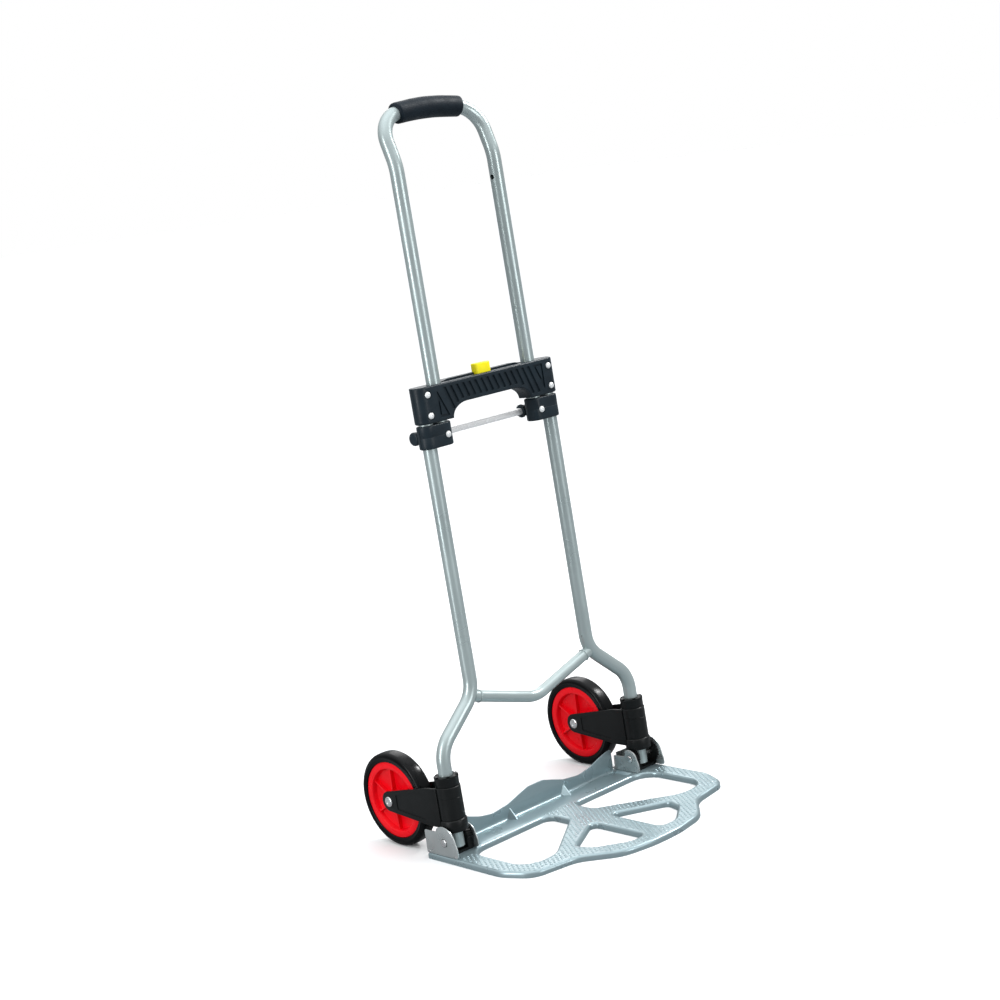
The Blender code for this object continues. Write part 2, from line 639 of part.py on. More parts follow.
def wall_outline():
    """The upturned rear edge seen from the front, a low wave with a crown in the middle."""
    base = PLATE_TOP - PLATE_SHEET
    half = [(0, 0.0440), (0.016, 0.0440), (0.040, 0.0370), (0.062, 0.0300), (0.096, 0.0260), (0.122, 0.0300),
            (0.148, 0.0390), (0.166, 0.0440), (WALL_HALF, 0.0440), (WALL_HALF, base), (0, base)]
    return mirrored(half)


def toe_plate(parent, paint):
    """Pressed plate: a sheet with turned-down rims outside and round its four openings, and a rear wall."""
    outer = mirrored(plate_half_outline())
    outer = [p for k, p in enumerate(outer) if (p - outer[k - 1]).length > 1e-5]
    outer.reverse()
    openings = {}
    for name, side in ASIDE.items():
        openings[f"{name}_large"] = large_hole(side)
        openings[f"{name}_small"] = small_hole(side)
    plate = solid("toe_plate", prism(outer, 0, PLATE_TOP, across_z), paint, parent)
    inside = prism(offset(outer, -PLATE_SHEET), -0.01, PLATE_TOP - PLATE_SHEET, across_z)
    pocket = solid("plate_pocket", inside, None, parent)
    for label, points in openings.items():
        keep = prism(offset(points, PLATE_SHEET), -0.02, PLATE_TOP + 0.01, across_z)
        cut(pocket, solid(f"plate_{label}_rim", keep, None, parent))
    cut(plate, pocket)
    for label, points in openings.items():
        cut(plate, solid(f"plate_{label}_opening", prism(points, -0.03, 0.02, across_z), None, parent))
    wall = solid("plate_wall", prism(wall_outline(), WALL_Y, WALL_Y + 0.0019, across_y), None, parent)
    join(plate, wall)
    return plate


def ear_outline(lobe):
    """One ear of a hinge bracket seen from the side, with a rear shoulder; origin at the pin."""
    base = PLATE_TOP + GAP - PIN_Z
    outer_ear = lobe > 0.02
    shoulder = 0.0155 if outer_ear else 0.0030
    reach = EAR_REAR if outer_ear else INNER_EAR_REAR
    front = -lobe - 0.003
    rear = [(reach, base), (reach, shoulder - 0.004), (reach - 0.004, shoulder), (lobe * 0.62, shoulder)]
    foot = [(front, -0.004), (front - 0.001, base + 0.006), (front + 0.006, base)]
    return rear + arc((0, 0), lobe, 62, 172, 9) + foot


def hinge_bracket(name, side, parent, paint):
    """Two ears and the strap that joins them behind and below the leg."""
    inner = sorted((side * EAR_IN, side * (EAR_IN + EAR_SHEET)))
    outer = sorted((side * EAR_OUT, side * (EAR_OUT - EAR_SHEET)))
    base = PLATE_TOP + GAP - PIN_Z
    bracket = solid(f"{name}_hinge_bracket", prism(ear_outline(0.0255), *outer, across_x), paint, parent)
    small = solid(f"{name}_bracket_inner_ear", prism(ear_outline(0.0160), *inner, across_x), None, parent)
    low, high = sorted((side * (EAR_IN + 0.001), side * (EAR_OUT - 0.001)))
    strap = box((low, 0.014, base), (high, EAR_REAR, base + EAR_SHEET))
    web_low, web_high = sorted((side * (EAR_IN + 0.0120), side * (EAR_OUT - 0.001)))
    web = box((web_low, EAR_REAR - EAR_SHEET, base), (web_high, EAR_REAR, 0.0030))
    join(bracket, small, solid(f"{name}_bracket_strap", strap, None, parent),
         solid(f"{name}_bracket_web", web, None, parent))
    for label, x in (("inner", side * EAR_IN), ("outer", side * EAR_OUT)):
        hole = rod(HINGE_PIN_R + GAP, (x - 0.01, 0, 0), (x + 0.01, 0, 0))
        cut(bracket, solid(f"{name}_bracket_{label}_hole", hole, None, parent))
    return bracket


def hinge_pin(name, side, parent, paint):
    """A riveted pin through both ears and the leg, with a head at each end."""
    head, high = HINGE_PIN_R + 0.0018, 0.0014
    a, b = EAR_IN - GAP, EAR_OUT + GAP
    profile = [(0, a - high), (head * 0.7, a - high), (head, a - high * 0.4), (head, a), (HINGE_PIN_R, a),
               (HINGE_PIN_R, b), (head, b), (head, b + high * 0.4), (head * 0.7, b + high), (0, b + high)]
    return solid(f"{name}_hinge_pin", turned([(r, side * x) for r, x in profile], 12), paint, parent)


def toothed_outline(radius, teeth, base):
    """A disc with teeth round its upper side and a flat foot, seen from the side; origin at the pin."""
    rim = []
    for k in range(2 * teeth + 1):
        a = math.radians(-20 + 220 * k / (2 * teeth))
        reach = radius if k % 2 else radius - TOOTH_DEPTH
        rim.append((reach * math.cos(a), reach * math.sin(a)))
    return rim + [(-0.0105, base), (0.0125, base)]


def fold_cam(name, side, parent, paint):
    """Black toothed cam round the foot of the leg: it turns with the plate and drives the fork's ring."""
    inner_face = EAR_IN + EAR_SHEET + GAP
    outer_face = EAR_OUT - EAR_SHEET - GAP
    leg_face = LEG_X_LOW - TUBE_R - 2 * GAP
    base = PLATE_TOP + GAP - PIN_Z
    cheek = prism(toothed_outline(CAM_R, 12, base), *sorted((side * inner_face, side * leg_face)), across_x)
    cam = solid(f"{name}_fold_cam", cheek, paint, parent)
    disc_ends = sorted((side * (outer_face - CAM_GEAR_THICK), side * outer_face))
    disc = prism(toothed_outline(CAM_GEAR_R, 16, base), *disc_ends, across_x)
    low, high = sorted((side * (leg_face - 0.001), side * (outer_face - 0.001)))
    foot = box((low, -0.0100, base), (high, 0.0120, CAM_FOOT_HIGH))
    join(cam, solid(f"{name}_cam_foot", foot, None, parent), solid(f"{name}_cam_disc", disc, None, parent))
    hole = rod(HINGE_PIN_R + GAP, (side * (EAR_IN - 0.01), 0, 0), (side * (EAR_OUT + 0.01), 0, 0))
    cut(cam, solid(f"{name}_cam_hole", hole, None, parent))
    return cam


# ---------------------------------------------------------------- the whole truck
def paints():
    return {
        "tube": material("powder_coated_tube", (0.46, 0.52, 0.52), 0.35, 0.55),
        "plate": material("galvanised_plate", (0.42, 0.50, 0.52), 0.42, 0.70),
        "zinc": material("zinc_bracket", (0.62, 0.66, 0.66), 0.35, 0.85),
        "steel": material("bright_steel", (0.80, 0.81, 0.82), 0.25, 0.95),
        "plastic": material("black_plastic", (0.022, 0.025, 0.030), 0.45, 0.0),
        "fork": material("black_fork_plastic", (0.016, 0.018, 0.019), 0.50, 0.0),
        "foam": material("black_foam", (0.020, 0.024, 0.030), 0.60, 0.0),
        "rubber": material("black_rubber", (0.014, 0.016, 0.018), 0.60, 0.0),
        "rim": material("red_plastic", (0.80, 0.010, 0.020), 0.35, 0.0),
        "button": material("yellow_plastic", (0.85, 0.72, 0.03), 0.40, 0.0),
    }


def build():
    clear_scene()
    paint = paints()
    frame_axes = empty("frame_axes", (0, PIN_Y, PIN_Z), (-LEAN, 0, 0))
    plate_axis = empty("plate_fold_axis", (0, PIN_Y, PIN_Z))
    ground = empty("plate_ground", (0, 0, 0))

    for name, side in ASIDE.items():
        leg_tube(name, side, frame_axes, paint["tube"])
    crossbar(frame_axes, paint["tube"])
    bracket_shell("bracket_front_shell", True, frame_axes, paint["plastic"])
    bracket_shell("bracket_rear_shell", False, frame_axes, paint["plastic"])
    for name, side in ASIDE.items():
        for label, up in zip(("lower", "upper"), SCREW_UPS):
            screw(f"{name}_{label}_bracket_screw", side * SCREW_X, up, BRACKET_DEPTH, 0.0075, frame_axes,
                  paint["steel"])
    lock_parts(frame_axes, paint["button"], paint["steel"])

    handle_tube(frame_axes, paint["tube"])
    grip(frame_axes, paint["foam"])
    for name, side in ASIDE.items():
        slider_half(f"{name}_slider_front", side, True, frame_axes, paint["plastic"])
        slider_half(f"{name}_slider_rear", side, False, frame_axes, paint["plastic"])
        screw(f"{name}_slider_screw", side * HANDLE_X, SLIDER_SCREW_UP, SLIDER_R + GAP, 0.0018, frame_axes,
              paint["steel"])
    tie_rod(frame_axes, paint["steel"], paint["plastic"])

    for name, side in ASIDE.items():
        x = side * LEG_X_LOW
        ring(f"{name}_sleeve_collar", COLLAR_R, TUBE_R + GAP, SLEEVE_HIGH, COLLAR_HIGH, x, frame_axes,
             paint["fork"], 6)
        ring(f"{name}_sleeve_ring", RING_R, RING_SEAT_R + GAP, RING_LOW, RING_HIGH, x, frame_axes,
             paint["fork"])
        wheel_fork(name, side, frame_axes, paint["fork"])
        wheel(name, side, paint)

    toe_plate(ground, paint["plate"])
    for name, side in ASIDE.items():
        hinge_bracket(name, side, plate_axis, paint["zinc"])
        hinge_pin(name, side, plate_axis, paint["steel"])
        fold_cam(name, side, plate_axis, paint["fork"])
    bpy.context.view_layer.update()


build()
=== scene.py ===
"""Looks of the folding hand truck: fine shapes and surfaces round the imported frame.

Metres, +Z up, -Y to the front. Pieces on the leaning frame are drawn in its own axes (x, back, up) and placed
by LEANING. A piece named NODE_fine stands for the CAD node NODE, rides on its body and takes its slot.
"""

import json
import math

import bmesh
import bpy
import numpy as np
from mathutils import Matrix, Vector, geometry


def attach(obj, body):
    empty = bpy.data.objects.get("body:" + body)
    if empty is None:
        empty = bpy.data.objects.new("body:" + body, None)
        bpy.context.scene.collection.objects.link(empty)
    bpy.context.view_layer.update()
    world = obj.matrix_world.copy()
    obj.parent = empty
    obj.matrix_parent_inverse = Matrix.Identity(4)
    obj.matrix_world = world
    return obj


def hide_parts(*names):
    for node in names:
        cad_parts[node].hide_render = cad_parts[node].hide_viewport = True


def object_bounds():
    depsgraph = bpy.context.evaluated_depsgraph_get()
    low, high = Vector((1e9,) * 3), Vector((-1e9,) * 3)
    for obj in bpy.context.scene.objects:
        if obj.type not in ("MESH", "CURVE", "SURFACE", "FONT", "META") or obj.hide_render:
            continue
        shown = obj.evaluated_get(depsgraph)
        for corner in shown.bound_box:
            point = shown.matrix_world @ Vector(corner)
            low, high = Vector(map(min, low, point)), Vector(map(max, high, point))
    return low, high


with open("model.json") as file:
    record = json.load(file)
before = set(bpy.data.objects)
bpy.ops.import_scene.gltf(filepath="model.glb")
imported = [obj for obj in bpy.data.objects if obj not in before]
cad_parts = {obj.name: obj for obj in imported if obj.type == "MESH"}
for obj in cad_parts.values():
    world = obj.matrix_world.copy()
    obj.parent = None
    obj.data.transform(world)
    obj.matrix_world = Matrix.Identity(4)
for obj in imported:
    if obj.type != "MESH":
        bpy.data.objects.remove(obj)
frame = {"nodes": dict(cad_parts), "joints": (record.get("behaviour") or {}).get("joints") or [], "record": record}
cad_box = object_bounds()

RECORD = frame["record"]
JOINTS = {joint["name"]: joint for joint in frame["joints"]}
BODY_OF = {node: body for body, nodes in RECORD["behaviour"]["bodies"].items() for node in nodes}
SLOT_OF = {part["node"]: part["material_slot"] for part in RECORD["subparts"]}
SIDES = {"left": -1, "right": 1}

# ---------------------------------------------------------------- the frame's axes, from the joints
UP = Vector(JOINTS["handle_slide"]["axis"])
PIN = Vector(JOINTS["plate_fold"]["pos_m"])
LEG_X = JOINTS["right_fork_swing"]["pos_m"][0]
AXLE = Vector(JOINTS["right_wheel_spin"]["pos_m"])
LEANING = Matrix.Translation(PIN) @ Matrix(((1, 0, 0, 0), (0, UP.z, UP.y, 0), (0, -UP.y, UP.z, 0),
                                            (0, 0, 0, 1)))
TRAVEL = -JOINTS["handle_slide"]["range_m"][0]


def span(node):
    """Lowest and highest corner of a CAD node in the leaning axes."""
    into = LEANING.inverted()
    points = [into @ v.co for v in frame["nodes"][node].data.vertices]
    return Vector([min(c) for c in zip(*points)]), Vector([max(c) for c in zip(*points)])


# ---------------------------------------------------------------- sizes that the boxes don't give
GAP = 0.0003
OVER = 0.01
TUBE_R = 0.0110
TUBE_WALL = 0.0015
LEG_BENDS = (0.1385, 0.2045)
LEG_BEND_R = 0.050
CROSSBAR_R = 0.0090
CROSSBAR_MID_UP = 0.1610
CROSSBAR_END_UP = 0.2000
CROSSBAR_BEND_R = 0.060
HANDLE_X = 0.0987
HANDLE_KINK_R = 0.090
HANDLE_KINK_UP = 1.0050
HANDLE_CORNER = (0.0227, 1.0795)
HANDLE_CORNER_R = 0.045
HANDLE_MID = (0.0250, 1.0880)
GRIP_R = 0.0165
GRIP_HALF = 0.0640
GRIP_EDGE = 0.0035
LOCK_UP = 0.6620
LOCK_HOLE_R = 0.0040
SHEET = 0.0020
LEG_TOP = 0.6725
BRACKET_END_X = 0.1270
BRACKET_DEPTH = 0.0160
ARCH_UP = 0.6438
ARCH_HALF = 0.0500
ARCH_FOOT = 0.0820
CROWN = 0.0030
CROWN_SPAN = (0.0710, 0.0870)
GROOVE_COUNT = 15
GROOVE_START = -0.0844
GROOVE_PITCH = 0.0125
GROOVE_DEPTH = 0.0022
GROOVE_SPAN = (0.6290, 0.6720)
GROOVE_HALF = 0.0028
GROOVE_SLANT = 0.38
SCREW_X = 0.1265
SCREW_UPS = (0.6345, 0.6660)
SCREW_HOLE_R = 0.0023
SCREW_SEAT_R = 0.0063
SCREW_SUNK = 0.0011
BUTTON_HALF = 0.0155
BUTTON_DEPTH = 0.0068
BUTTON_CORNER_R = 0.004
SPRING_POCKET = (0.0057, 0.0185)
SLIDER_R = 0.0150
SLIDER_SCREW_UP = 0.6015
SLIDER_SEAT_R = 0.0060
SLIDER_SUNK = 0.0006
ROD_R = 0.0055
ROD_BACK = 0.0270
ROD_UP = 0.6010
ROD_END_R = 0.0105
ROD_LUG_X = (0.0968, 0.1262)
ROD_LUG_HALF = 0.0085
ROD_LUG_PAST = 0.0095
SOCKET_RIBS = 16
SOCKET_RIB_DEPTH = 0.0006
CAP_ROUND = 0.0034
COLLAR_NOTCHES = 6
SLEEVE_TUBE_R = 0.0170
SLEEVE_R = 0.0195
RING_R = 0.0210
WHEEL_R = 0.0750
WHEEL_HALF = 0.0140
RIM_R = 0.0610
HUB_HALF = 0.0135
RIB_COUNT = 6
RIB_TURN = 88
RIB_REACH = (0.0122, 0.0494)
RIB_THICK = (0.0017, 0.0010)
RIB_TALL = (0.0112, 0.0092)
AXLE_R = 0.0050
BUSH_R = 0.0080
ARM_IN = 0.0165
ARM_OUT = 0.0205
ARM_END_R = 0.0160
ARM_FRONT_LOW = 0.0212
ARM_ROOT = 0.0064
PANEL_DEPTH = 0.0009
AXLE_CAP_R = 0.0082
AXLE_CAP_HIGH = 0.0032
PLATE_TOP = 0.0095
NOSE_Y = -0.2234
WALL_Y = 0.0590
WALL_HALF = 0.1760
WALL_HIGH = 0.0440
WALL_THICK = 0.0019
ROLL_R = 0.0045
FILLET_R = 0.0048
DART_X = 0.0600
BOSS_PITCH = (0.0078, 0.0064)
BOSS_ROWS = 38
BOSS_REACH = 31
BOSS_PROFILE = ((0.0023, -0.0003), (0.0020, 0.00045), (0.0012, 0.00085), (0.0, 0.00100))
RING_STEPS = (0.0004, 0.0012, 0.0022, 0.0034, 0.0047)
STRIP_Y = (0.0166, 0.0190)
STRIP_HALF = 0.1750
STRIP_SUNK = 0.0033
EAR_IN = 0.1795
EAR_OUT = 0.2315
EAR_REAR = 0.0425
LOBE_OUTER_R = 0.0255
LOBE_INNER_R = 0.0160
HINGE_PIN_R = 0.0040
PIN_HEAD_R = 0.0058
PIN_HEAD_TALL = 0.0014
PIN_SEAT_R = 0.0066
CAM_R = 0.0122
CAM_GEAR_R = 0.0200
CAM_GEAR_THICK = 0.0022
CAM_FOOT_HIGH = -0.0170
TOOTH_DEPTH = 0.0016
CUT, JOIN, WITHIN = "DIFFERENCE", "UNION", "INTERSECT"


# ---------------------------------------------------------------- outlines and paths
def arc(center, radius, start, end, steps):
    """Points on an arc, angles in degrees, both ends included."""
    angles = [math.radians(start + (end - start) * k / steps) for k in range(steps + 1)]
    return [(center[0] + radius * math.cos(a), center[1] + radius * math.sin(a)) for a in angles]


def rounded(corners, closed=True):
    """A polyline with each corner (point, radius, steps) replaced by an arc of that radius."""
    points = []
    count = len(corners)
    for index, (point, radius, steps) in enumerate(corners):
        here = Vector(point)
        if not closed and index in (0, count - 1) or radius == 0:
            points.append(here)
            continue
        to_last = (Vector(corners[index - 1][0]) - here).normalized()
        to_next = (Vector(corners[(index + 1) % count][0]) - here).normalized()
        half = to_last.angle(to_next) / 2
        middle = here + (to_last + to_next).normalized() * radius / math.sin(half)
        first = here + to_last * radius / math.tan(half) - middle
        last = here + to_next * radius / math.tan(half) - middle
        turn = first.angle(last)
        for k in range(steps + 1):
            share = k / steps
            spoke = first * math.sin((1 - share) * turn) + last * math.sin(share * turn)
            points.append(middle + spoke / math.sin(turn))
    return points


def offset(points, distance):
    """A closed flat outline moved sideways; a positive distance moves a counter-clockwise one outwards."""
    moved = []
    count = len(points)
    for index, point in enumerate(points):
        before = (Vector(point) - Vector(points[index - 1])).normalized()
        after = (Vector(points[(index + 1) % count]) - Vector(point)).normalized()
        normal = Vector((before.y + after.y, -before.x - after.x)).normalized()
        stretch = max(0.5, normal.dot(Vector((after.y, -after.x))))
        moved.append(Vector(point) + normal * distance / stretch)
    return moved


def mirrored(half):
    """A closed outline from its right half, listed from one end of the centre line to the other."""
    return [Vector(p) for p in half] + [Vector((-p[0], p[1])) for p in reversed(half) if abs(p[0]) > 1e-6]


def ordered(side, near, far):
    """Two distances from the middle as coordinates on one side of it, the lower first."""
    return sorted((side * near, side * far))


def across_x(a, b, level):
    return (level, a, b)


def across_y(a, b, level):
    return (a, level, b)


def across_z(a, b, level):
    return (a, b, level)


# ---------------------------------------------------------------- meshes
def bridge(bm, this, then):
    """Quads between two closed rings."""
    for k in range(len(this)):
        n = (k + 1) % len(this)
        bm.faces.new((this[k], this[n], then[n], then[k]))


def prism(outline, low, high, place):
    """A flat outline made solid between two levels; place(a, b, level) gives the point in space."""
    return loft(outline, ((low, 0), (high, 0)), place)


def loft(outline, levels, place):
    """A flat outline made solid through (level, inset) steps, so that its ends can round off."""
    around = list(zip(outline, outline[1:] + outline[:1]))
    inward = -1 if sum(a[0] * b[1] - b[0] * a[1] for a, b in around) > 0 else 1
    bm = bmesh.new()
    rings = []
    for level, inset in levels:
        rings.append([bm.verts.new(place(p[0], p[1], level)) for p in offset(outline, inward * inset)])
    for this, then in zip(rings, rings[1:]):
        bridge(bm, this, then)
    bm.faces.new(list(reversed(rings[0])))
    bm.faces.new(rings[-1])
    return bm


def eased(low, high, radius, steps=4):
    """Levels for loft whose first and last stretches are quarter rounds."""
    bend = [math.radians(90 * k / steps) for k in range(steps + 1)]
    start = [(low + radius * (1 - math.cos(a)), radius * (1 - math.sin(a))) for a in bend]
    return start + [(low + high - level, inset) for level, inset in reversed(start)]


def rod(radius, start, end, sides=32):
    start, end = Vector(start), Vector(end)
    turn = (end - start).to_track_quat("Z", "Y").to_matrix().to_4x4()
    bm = bmesh.new()
    bmesh.ops.create_cone(bm, cap_ends=True, segments=sides, radius1=radius, radius2=radius,
                          depth=(end - start).length, matrix=Matrix.Translation((start + end) / 2) @ turn)
    return bm


def upright(radius, x, low, high, sides=48):
    return rod(radius, (x, 0, low), (x, 0, high), sides)


def crosswise(radius, start, end, back, up, sides=40):
    return rod(radius, (start, back, up), (end, back, up), sides)


def frontal(radius, x, up, start, end, sides=40):
    return rod(radius, (x, start, up), (x, end, up), sides)


def box(low, high):
    bm = bmesh.new()
    size = Vector(high) - Vector(low)
    middle = (Vector(high) + Vector(low)) / 2
    bmesh.ops.create_cube(bm, size=1, matrix=Matrix.Translation(middle) @ Matrix.Diagonal((*size, 1)))
    return bm


def turned(profile, sides, center=(0, 0, 0), axis="x"):
    """A closed (radius, length) profile turned once round an axis along x, y or z."""
    bm = bmesh.new()
    rings = []
    for radius, along in profile:
        ring = []
        for k in range(sides if radius > 0 else 1):
            a = 2 * math.pi * k / sides
            u, v = radius * math.cos(a), radius * math.sin(a)
            spot = {"x": (along, u, v), "y": (u, along, v), "z": (u, v, along)}[axis]
            ring.append(bm.verts.new(Vector(center) + Vector(spot)))
        rings.append(ring)
    for this, then in zip(rings, rings[1:] + rings[:1]):
        for k in range(sides):
            n = (k + 1) % sides
            quad = [this[k % len(this)], this[n % len(this)], then[n % len(then)], then[k % len(then)]]
            corners = list(dict.fromkeys(quad))
            if len(corners) > 2:
                bm.faces.new(corners)
    return bm


def swept(path, outer, inner=0.0, sides=40, radius_at=None):
    """A round bar along a path, or a tube where inner is more than 0. radius_at(k) scales ring k."""
    points = [Vector(p) for p in path]
    tangents = []
    for k in range(len(points)):
        ahead = points[min(k + 1, len(points) - 1)] - points[k]
        behind = points[k] - points[max(k - 1, 0)]
        tangents.append((ahead.normalized() + behind.normalized()).normalized())
    side = tangents[0].orthogonal().normalized()
    bm = bmesh.new()
    layers = {radius: [] for radius in (outer, inner) if radius > 0}
    for k, point in enumerate(points):
        if k:
            side = (tangents[k - 1].rotation_difference(tangents[k]) @ side).normalized()
        other = tangents[k].cross(side)
        for radius, rings in layers.items():
            reach = radius * (radius_at(k) if radius_at and radius == outer else 1.0)
            ring = []
            for s in range(sides):
                a = 2 * math.pi * s / sides
                ring.append(bm.verts.new(point + reach * (side * math.cos(a) + other * math.sin(a))))
            rings.append(ring)
    for rings in layers.values():
        for this, then in zip(rings, rings[1:]):
            bridge(bm, this, then)
    for end in (0, -1):
        if inner > 0:
            bridge(bm, layers[outer][end], layers[inner][end])
        else:
            bm.faces.new(layers[outer][end])
    return bm


def merged(*meshes):
    """Several bmeshes in one, as separate closed bodies."""
    whole = meshes[0]
    for bm in meshes[1:]:
        spare = bpy.data.meshes.new("spare")
        bm.to_mesh(spare)
        bm.free()
        whole.from_mesh(spare)
        bpy.data.meshes.remove(spare)
    return whole


def shaped(bm, *steps):
    """bm after Boolean steps (operation, tool), each tool a bmesh; nothing of the tools is left behind."""
    holders = []

    def held(mesh_source):
        bmesh.ops.recalc_face_normals(mesh_source, faces=mesh_source.faces)
        mesh = bpy.data.meshes.new("held")
        mesh_source.to_mesh(mesh)
        mesh_source.free()
        made = bpy.data.objects.new("held", mesh)
        bpy.context.collection.objects.link(made)
        holders.append(made)
        return made

    target = held(bm)
    for operation, tool in steps:
        step = target.modifiers.new(operation, "BOOLEAN")
        step.operation = operation
        step.object = held(tool)
        step.solver = "EXACT"
    bpy.context.view_layer.update()
    result = bmesh.new()
    result.from_object(target, bpy.context.evaluated_depsgraph_get())
    for made in holders:
        mesh = made.data
        bpy.data.objects.remove(made)
        bpy.data.meshes.remove(mesh)
    return result


def smooth_object(name, bm, place, sharp, paint):
    """bm as an object in the scene, shaded smooth up to an angle in degrees."""
    bmesh.ops.recalc_face_normals(bm, faces=bm.faces)
    mesh = bpy.data.meshes.new(name)
    bm.to_mesh(mesh)
    bm.free()
    mesh.transform(place)
    mesh.shade_smooth()
    mesh.set_sharp_from_angle(angle=math.radians(sharp))
    mesh.materials.append(paint)
    made = bpy.data.objects.new(name, mesh)
    bpy.context.collection.objects.link(made)
    return made


def fine(node, bm, place=LEANING, bevel=0.0, paint=None, sharp=38, segments=3):
    """Puts bm in the scene as the fine shape of a CAD node, on its body and with its slot."""
    made = smooth_object(f"{node}_fine", bm, place, sharp, paint or PAINTS[SLOT_OF[node]])
    if bevel:
        soften = made.modifiers.new("edges", "BEVEL")
        soften.width = bevel
        soften.segments = segments
        soften.limit_method = "ANGLE"
        soften.angle_limit = math.radians(42)
        soften.harden_normals = True
    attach(made, BODY_OF[node])
    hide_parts(node)
    return made


def extra(name, bm, body, slot, place=LEANING, sharp=40):
    """A small piece that no CAD node stands for, such as a weld bead."""
    made = smooth_object(name, bm, place, sharp, PAINTS[slot])
    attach(made, body)


# ---------------------------------------------------------------- materials
def fed(tree, node, inputs):
    """Sets inputs of a shader node to values, or links them where an output is given."""
    for key, value in inputs.items():
        if isinstance(value, bpy.types.NodeSocket):
            tree.links.new(value, node.inputs[key])
        else:
            node.inputs[key].default_value = value
    return node


def surface(name, color, rough, metallic=0.0, tint=None, patch=(40, 0.3), grain=(2200, 0.04),
            rough_swing=0.06, bump=(900, 0.00004), specular=0.5, coat=(0.0, 0.1), flecks=None):
    """A Principled material with patchy colour, uneven roughness and a fine bump, in the piece's own metres.

    patch and grain are (scale, share) of two noises that lean towards tint. bump is (scale, depth),
    coat is (weight, roughness) and flecks are (scale, share, colour)."""
    made = bpy.data.materials.new(name)
    made.use_nodes = True
    tree = made.node_tree
    where = tree.nodes.new("ShaderNodeTexCoord").outputs["Object"]

    def noise(scale, detail=3.0):
        spots = tree.nodes.new("ShaderNodeTexNoise")
        return fed(tree, spots, {"Scale": scale, "Detail": detail, "Vector": where}).outputs["Fac"]

    def ranged(value, low, high, from_low=0.35, from_high=0.65):
        spread = fed(tree, tree.nodes.new("ShaderNodeMapRange"), {
            "Value": value, "From Min": from_low, "From Max": from_high, "To Min": low, "To Max": high})
        return spread.outputs["Result"]

    def mixed(share, first, second):
        blend = tree.nodes.new("ShaderNodeMix")
        blend.data_type = "RGBA"
        return fed(tree, blend, {"Factor": share, "A": first, "B": second}).outputs["Result"]

    tint = (*(tint or [c * 0.7 for c in color]), 1.0)
    base = mixed(ranged(noise(patch[0]), 0.0, patch[1]), (*color, 1.0), tint)
    base = mixed(ranged(noise(grain[0]), 0.0, grain[1]), base, tint)
    if flecks:
        scale, share, fleck_color = flecks
        base = mixed(ranged(noise(scale, 1.0), 0.0, share, 0.60, 0.72), base, (*fleck_color, 1.0))
    relief = fed(tree, tree.nodes.new("ShaderNodeBump"), {"Distance": bump[1], "Height": noise(bump[0])})
    fed(tree, tree.nodes["Principled BSDF"], {
        "Base Color": base, "Metallic": metallic, "Specular IOR Level": specular,
        "Roughness": ranged(noise(patch[0] * 1.7), rough - rough_swing, rough + rough_swing),
        "Coat Weight": coat[0], "Coat Roughness": coat[1], "Normal": relief.outputs["Normal"]})
    return made


def make_paints():
    """One material for each of the record's slots."""
    return {
        "powder_coated_tube": surface(
            "silver_powder_coat", (0.40, 0.47, 0.47), 0.33, 0.55, tint=(0.33, 0.40, 0.405), patch=(9, 0.25),
            grain=(1500, 0.12), bump=(1400, 0.000006), coat=(0.25, 0.25),
            flecks=(2600, 0.15, (0.55, 0.60, 0.60))),
        "plate_steel": surface(
            "silver_coated_pressing", (0.29, 0.375, 0.40), 0.32, 0.60, tint=(0.22, 0.30, 0.33),
            patch=(14, 0.4), grain=(1300, 0.1), bump=(700, 0.000007), coat=(0.10, 0.25),
            flecks=(2400, 0.1, (0.45, 0.52, 0.53))),
        "zinc_steel": surface(
            "zinc_plate", (0.56, 0.60, 0.60), 0.30, 0.80, tint=(0.42, 0.46, 0.46), patch=(40, 0.3),
            grain=(900, 0.15), rough_swing=0.04, bump=(500, 0.00001)),
        "bright_steel": surface(
            "bright_steel", (0.78, 0.79, 0.79), 0.20, 0.95, tint=(0.6, 0.62, 0.62), patch=(120, 0.4),
            grain=(2000, 0.2), rough_swing=0.07, bump=(900, 0.000015)),
        "black_plastic": surface(
            "charcoal_plastic", (0.011, 0.021, 0.029), 0.38, tint=(0.006, 0.011, 0.016), patch=(35, 0.6),
            grain=(1800, 0.3), bump=(1100, 0.00006), specular=0.22),
        "fork_plastic": surface(
            "black_nylon", (0.0050, 0.0062, 0.0064), 0.38, tint=(0.003, 0.0038, 0.004), patch=(40, 0.6),
            grain=(1600, 0.3), bump=(1200, 0.00006), specular=0.20),
        "foam": surface(
            "black_foam", (0.008, 0.016, 0.024), 0.52, tint=(0.004, 0.008, 0.013), patch=(60, 0.6),
            grain=(2600, 0.5), bump=(1700, 0.00010), specular=0.14),
        "rubber": surface(
            "black_rubber", (0.0016, 0.0020, 0.0024), 0.22, tint=(0.003, 0.0034, 0.004), patch=(30, 0.5),
            grain=(1500, 0.3), bump=(900, 0.000015), specular=0.12),
        "red_plastic": surface(
            "red_plastic", (0.88, 0.002, 0.010), 0.33, tint=(0.72, 0.001, 0.007), patch=(30, 0.35),
            grain=(1500, 0.1), bump=(1000, 0.00003), specular=0.20),
        "yellow_plastic": surface(
            "yellow_plastic", (0.98, 0.87, 0.014), 0.35, tint=(0.92, 0.76, 0.010), patch=(60, 0.35),
            grain=(1500, 0.1), bump=(1000, 0.00004), specular=0.30),
    }


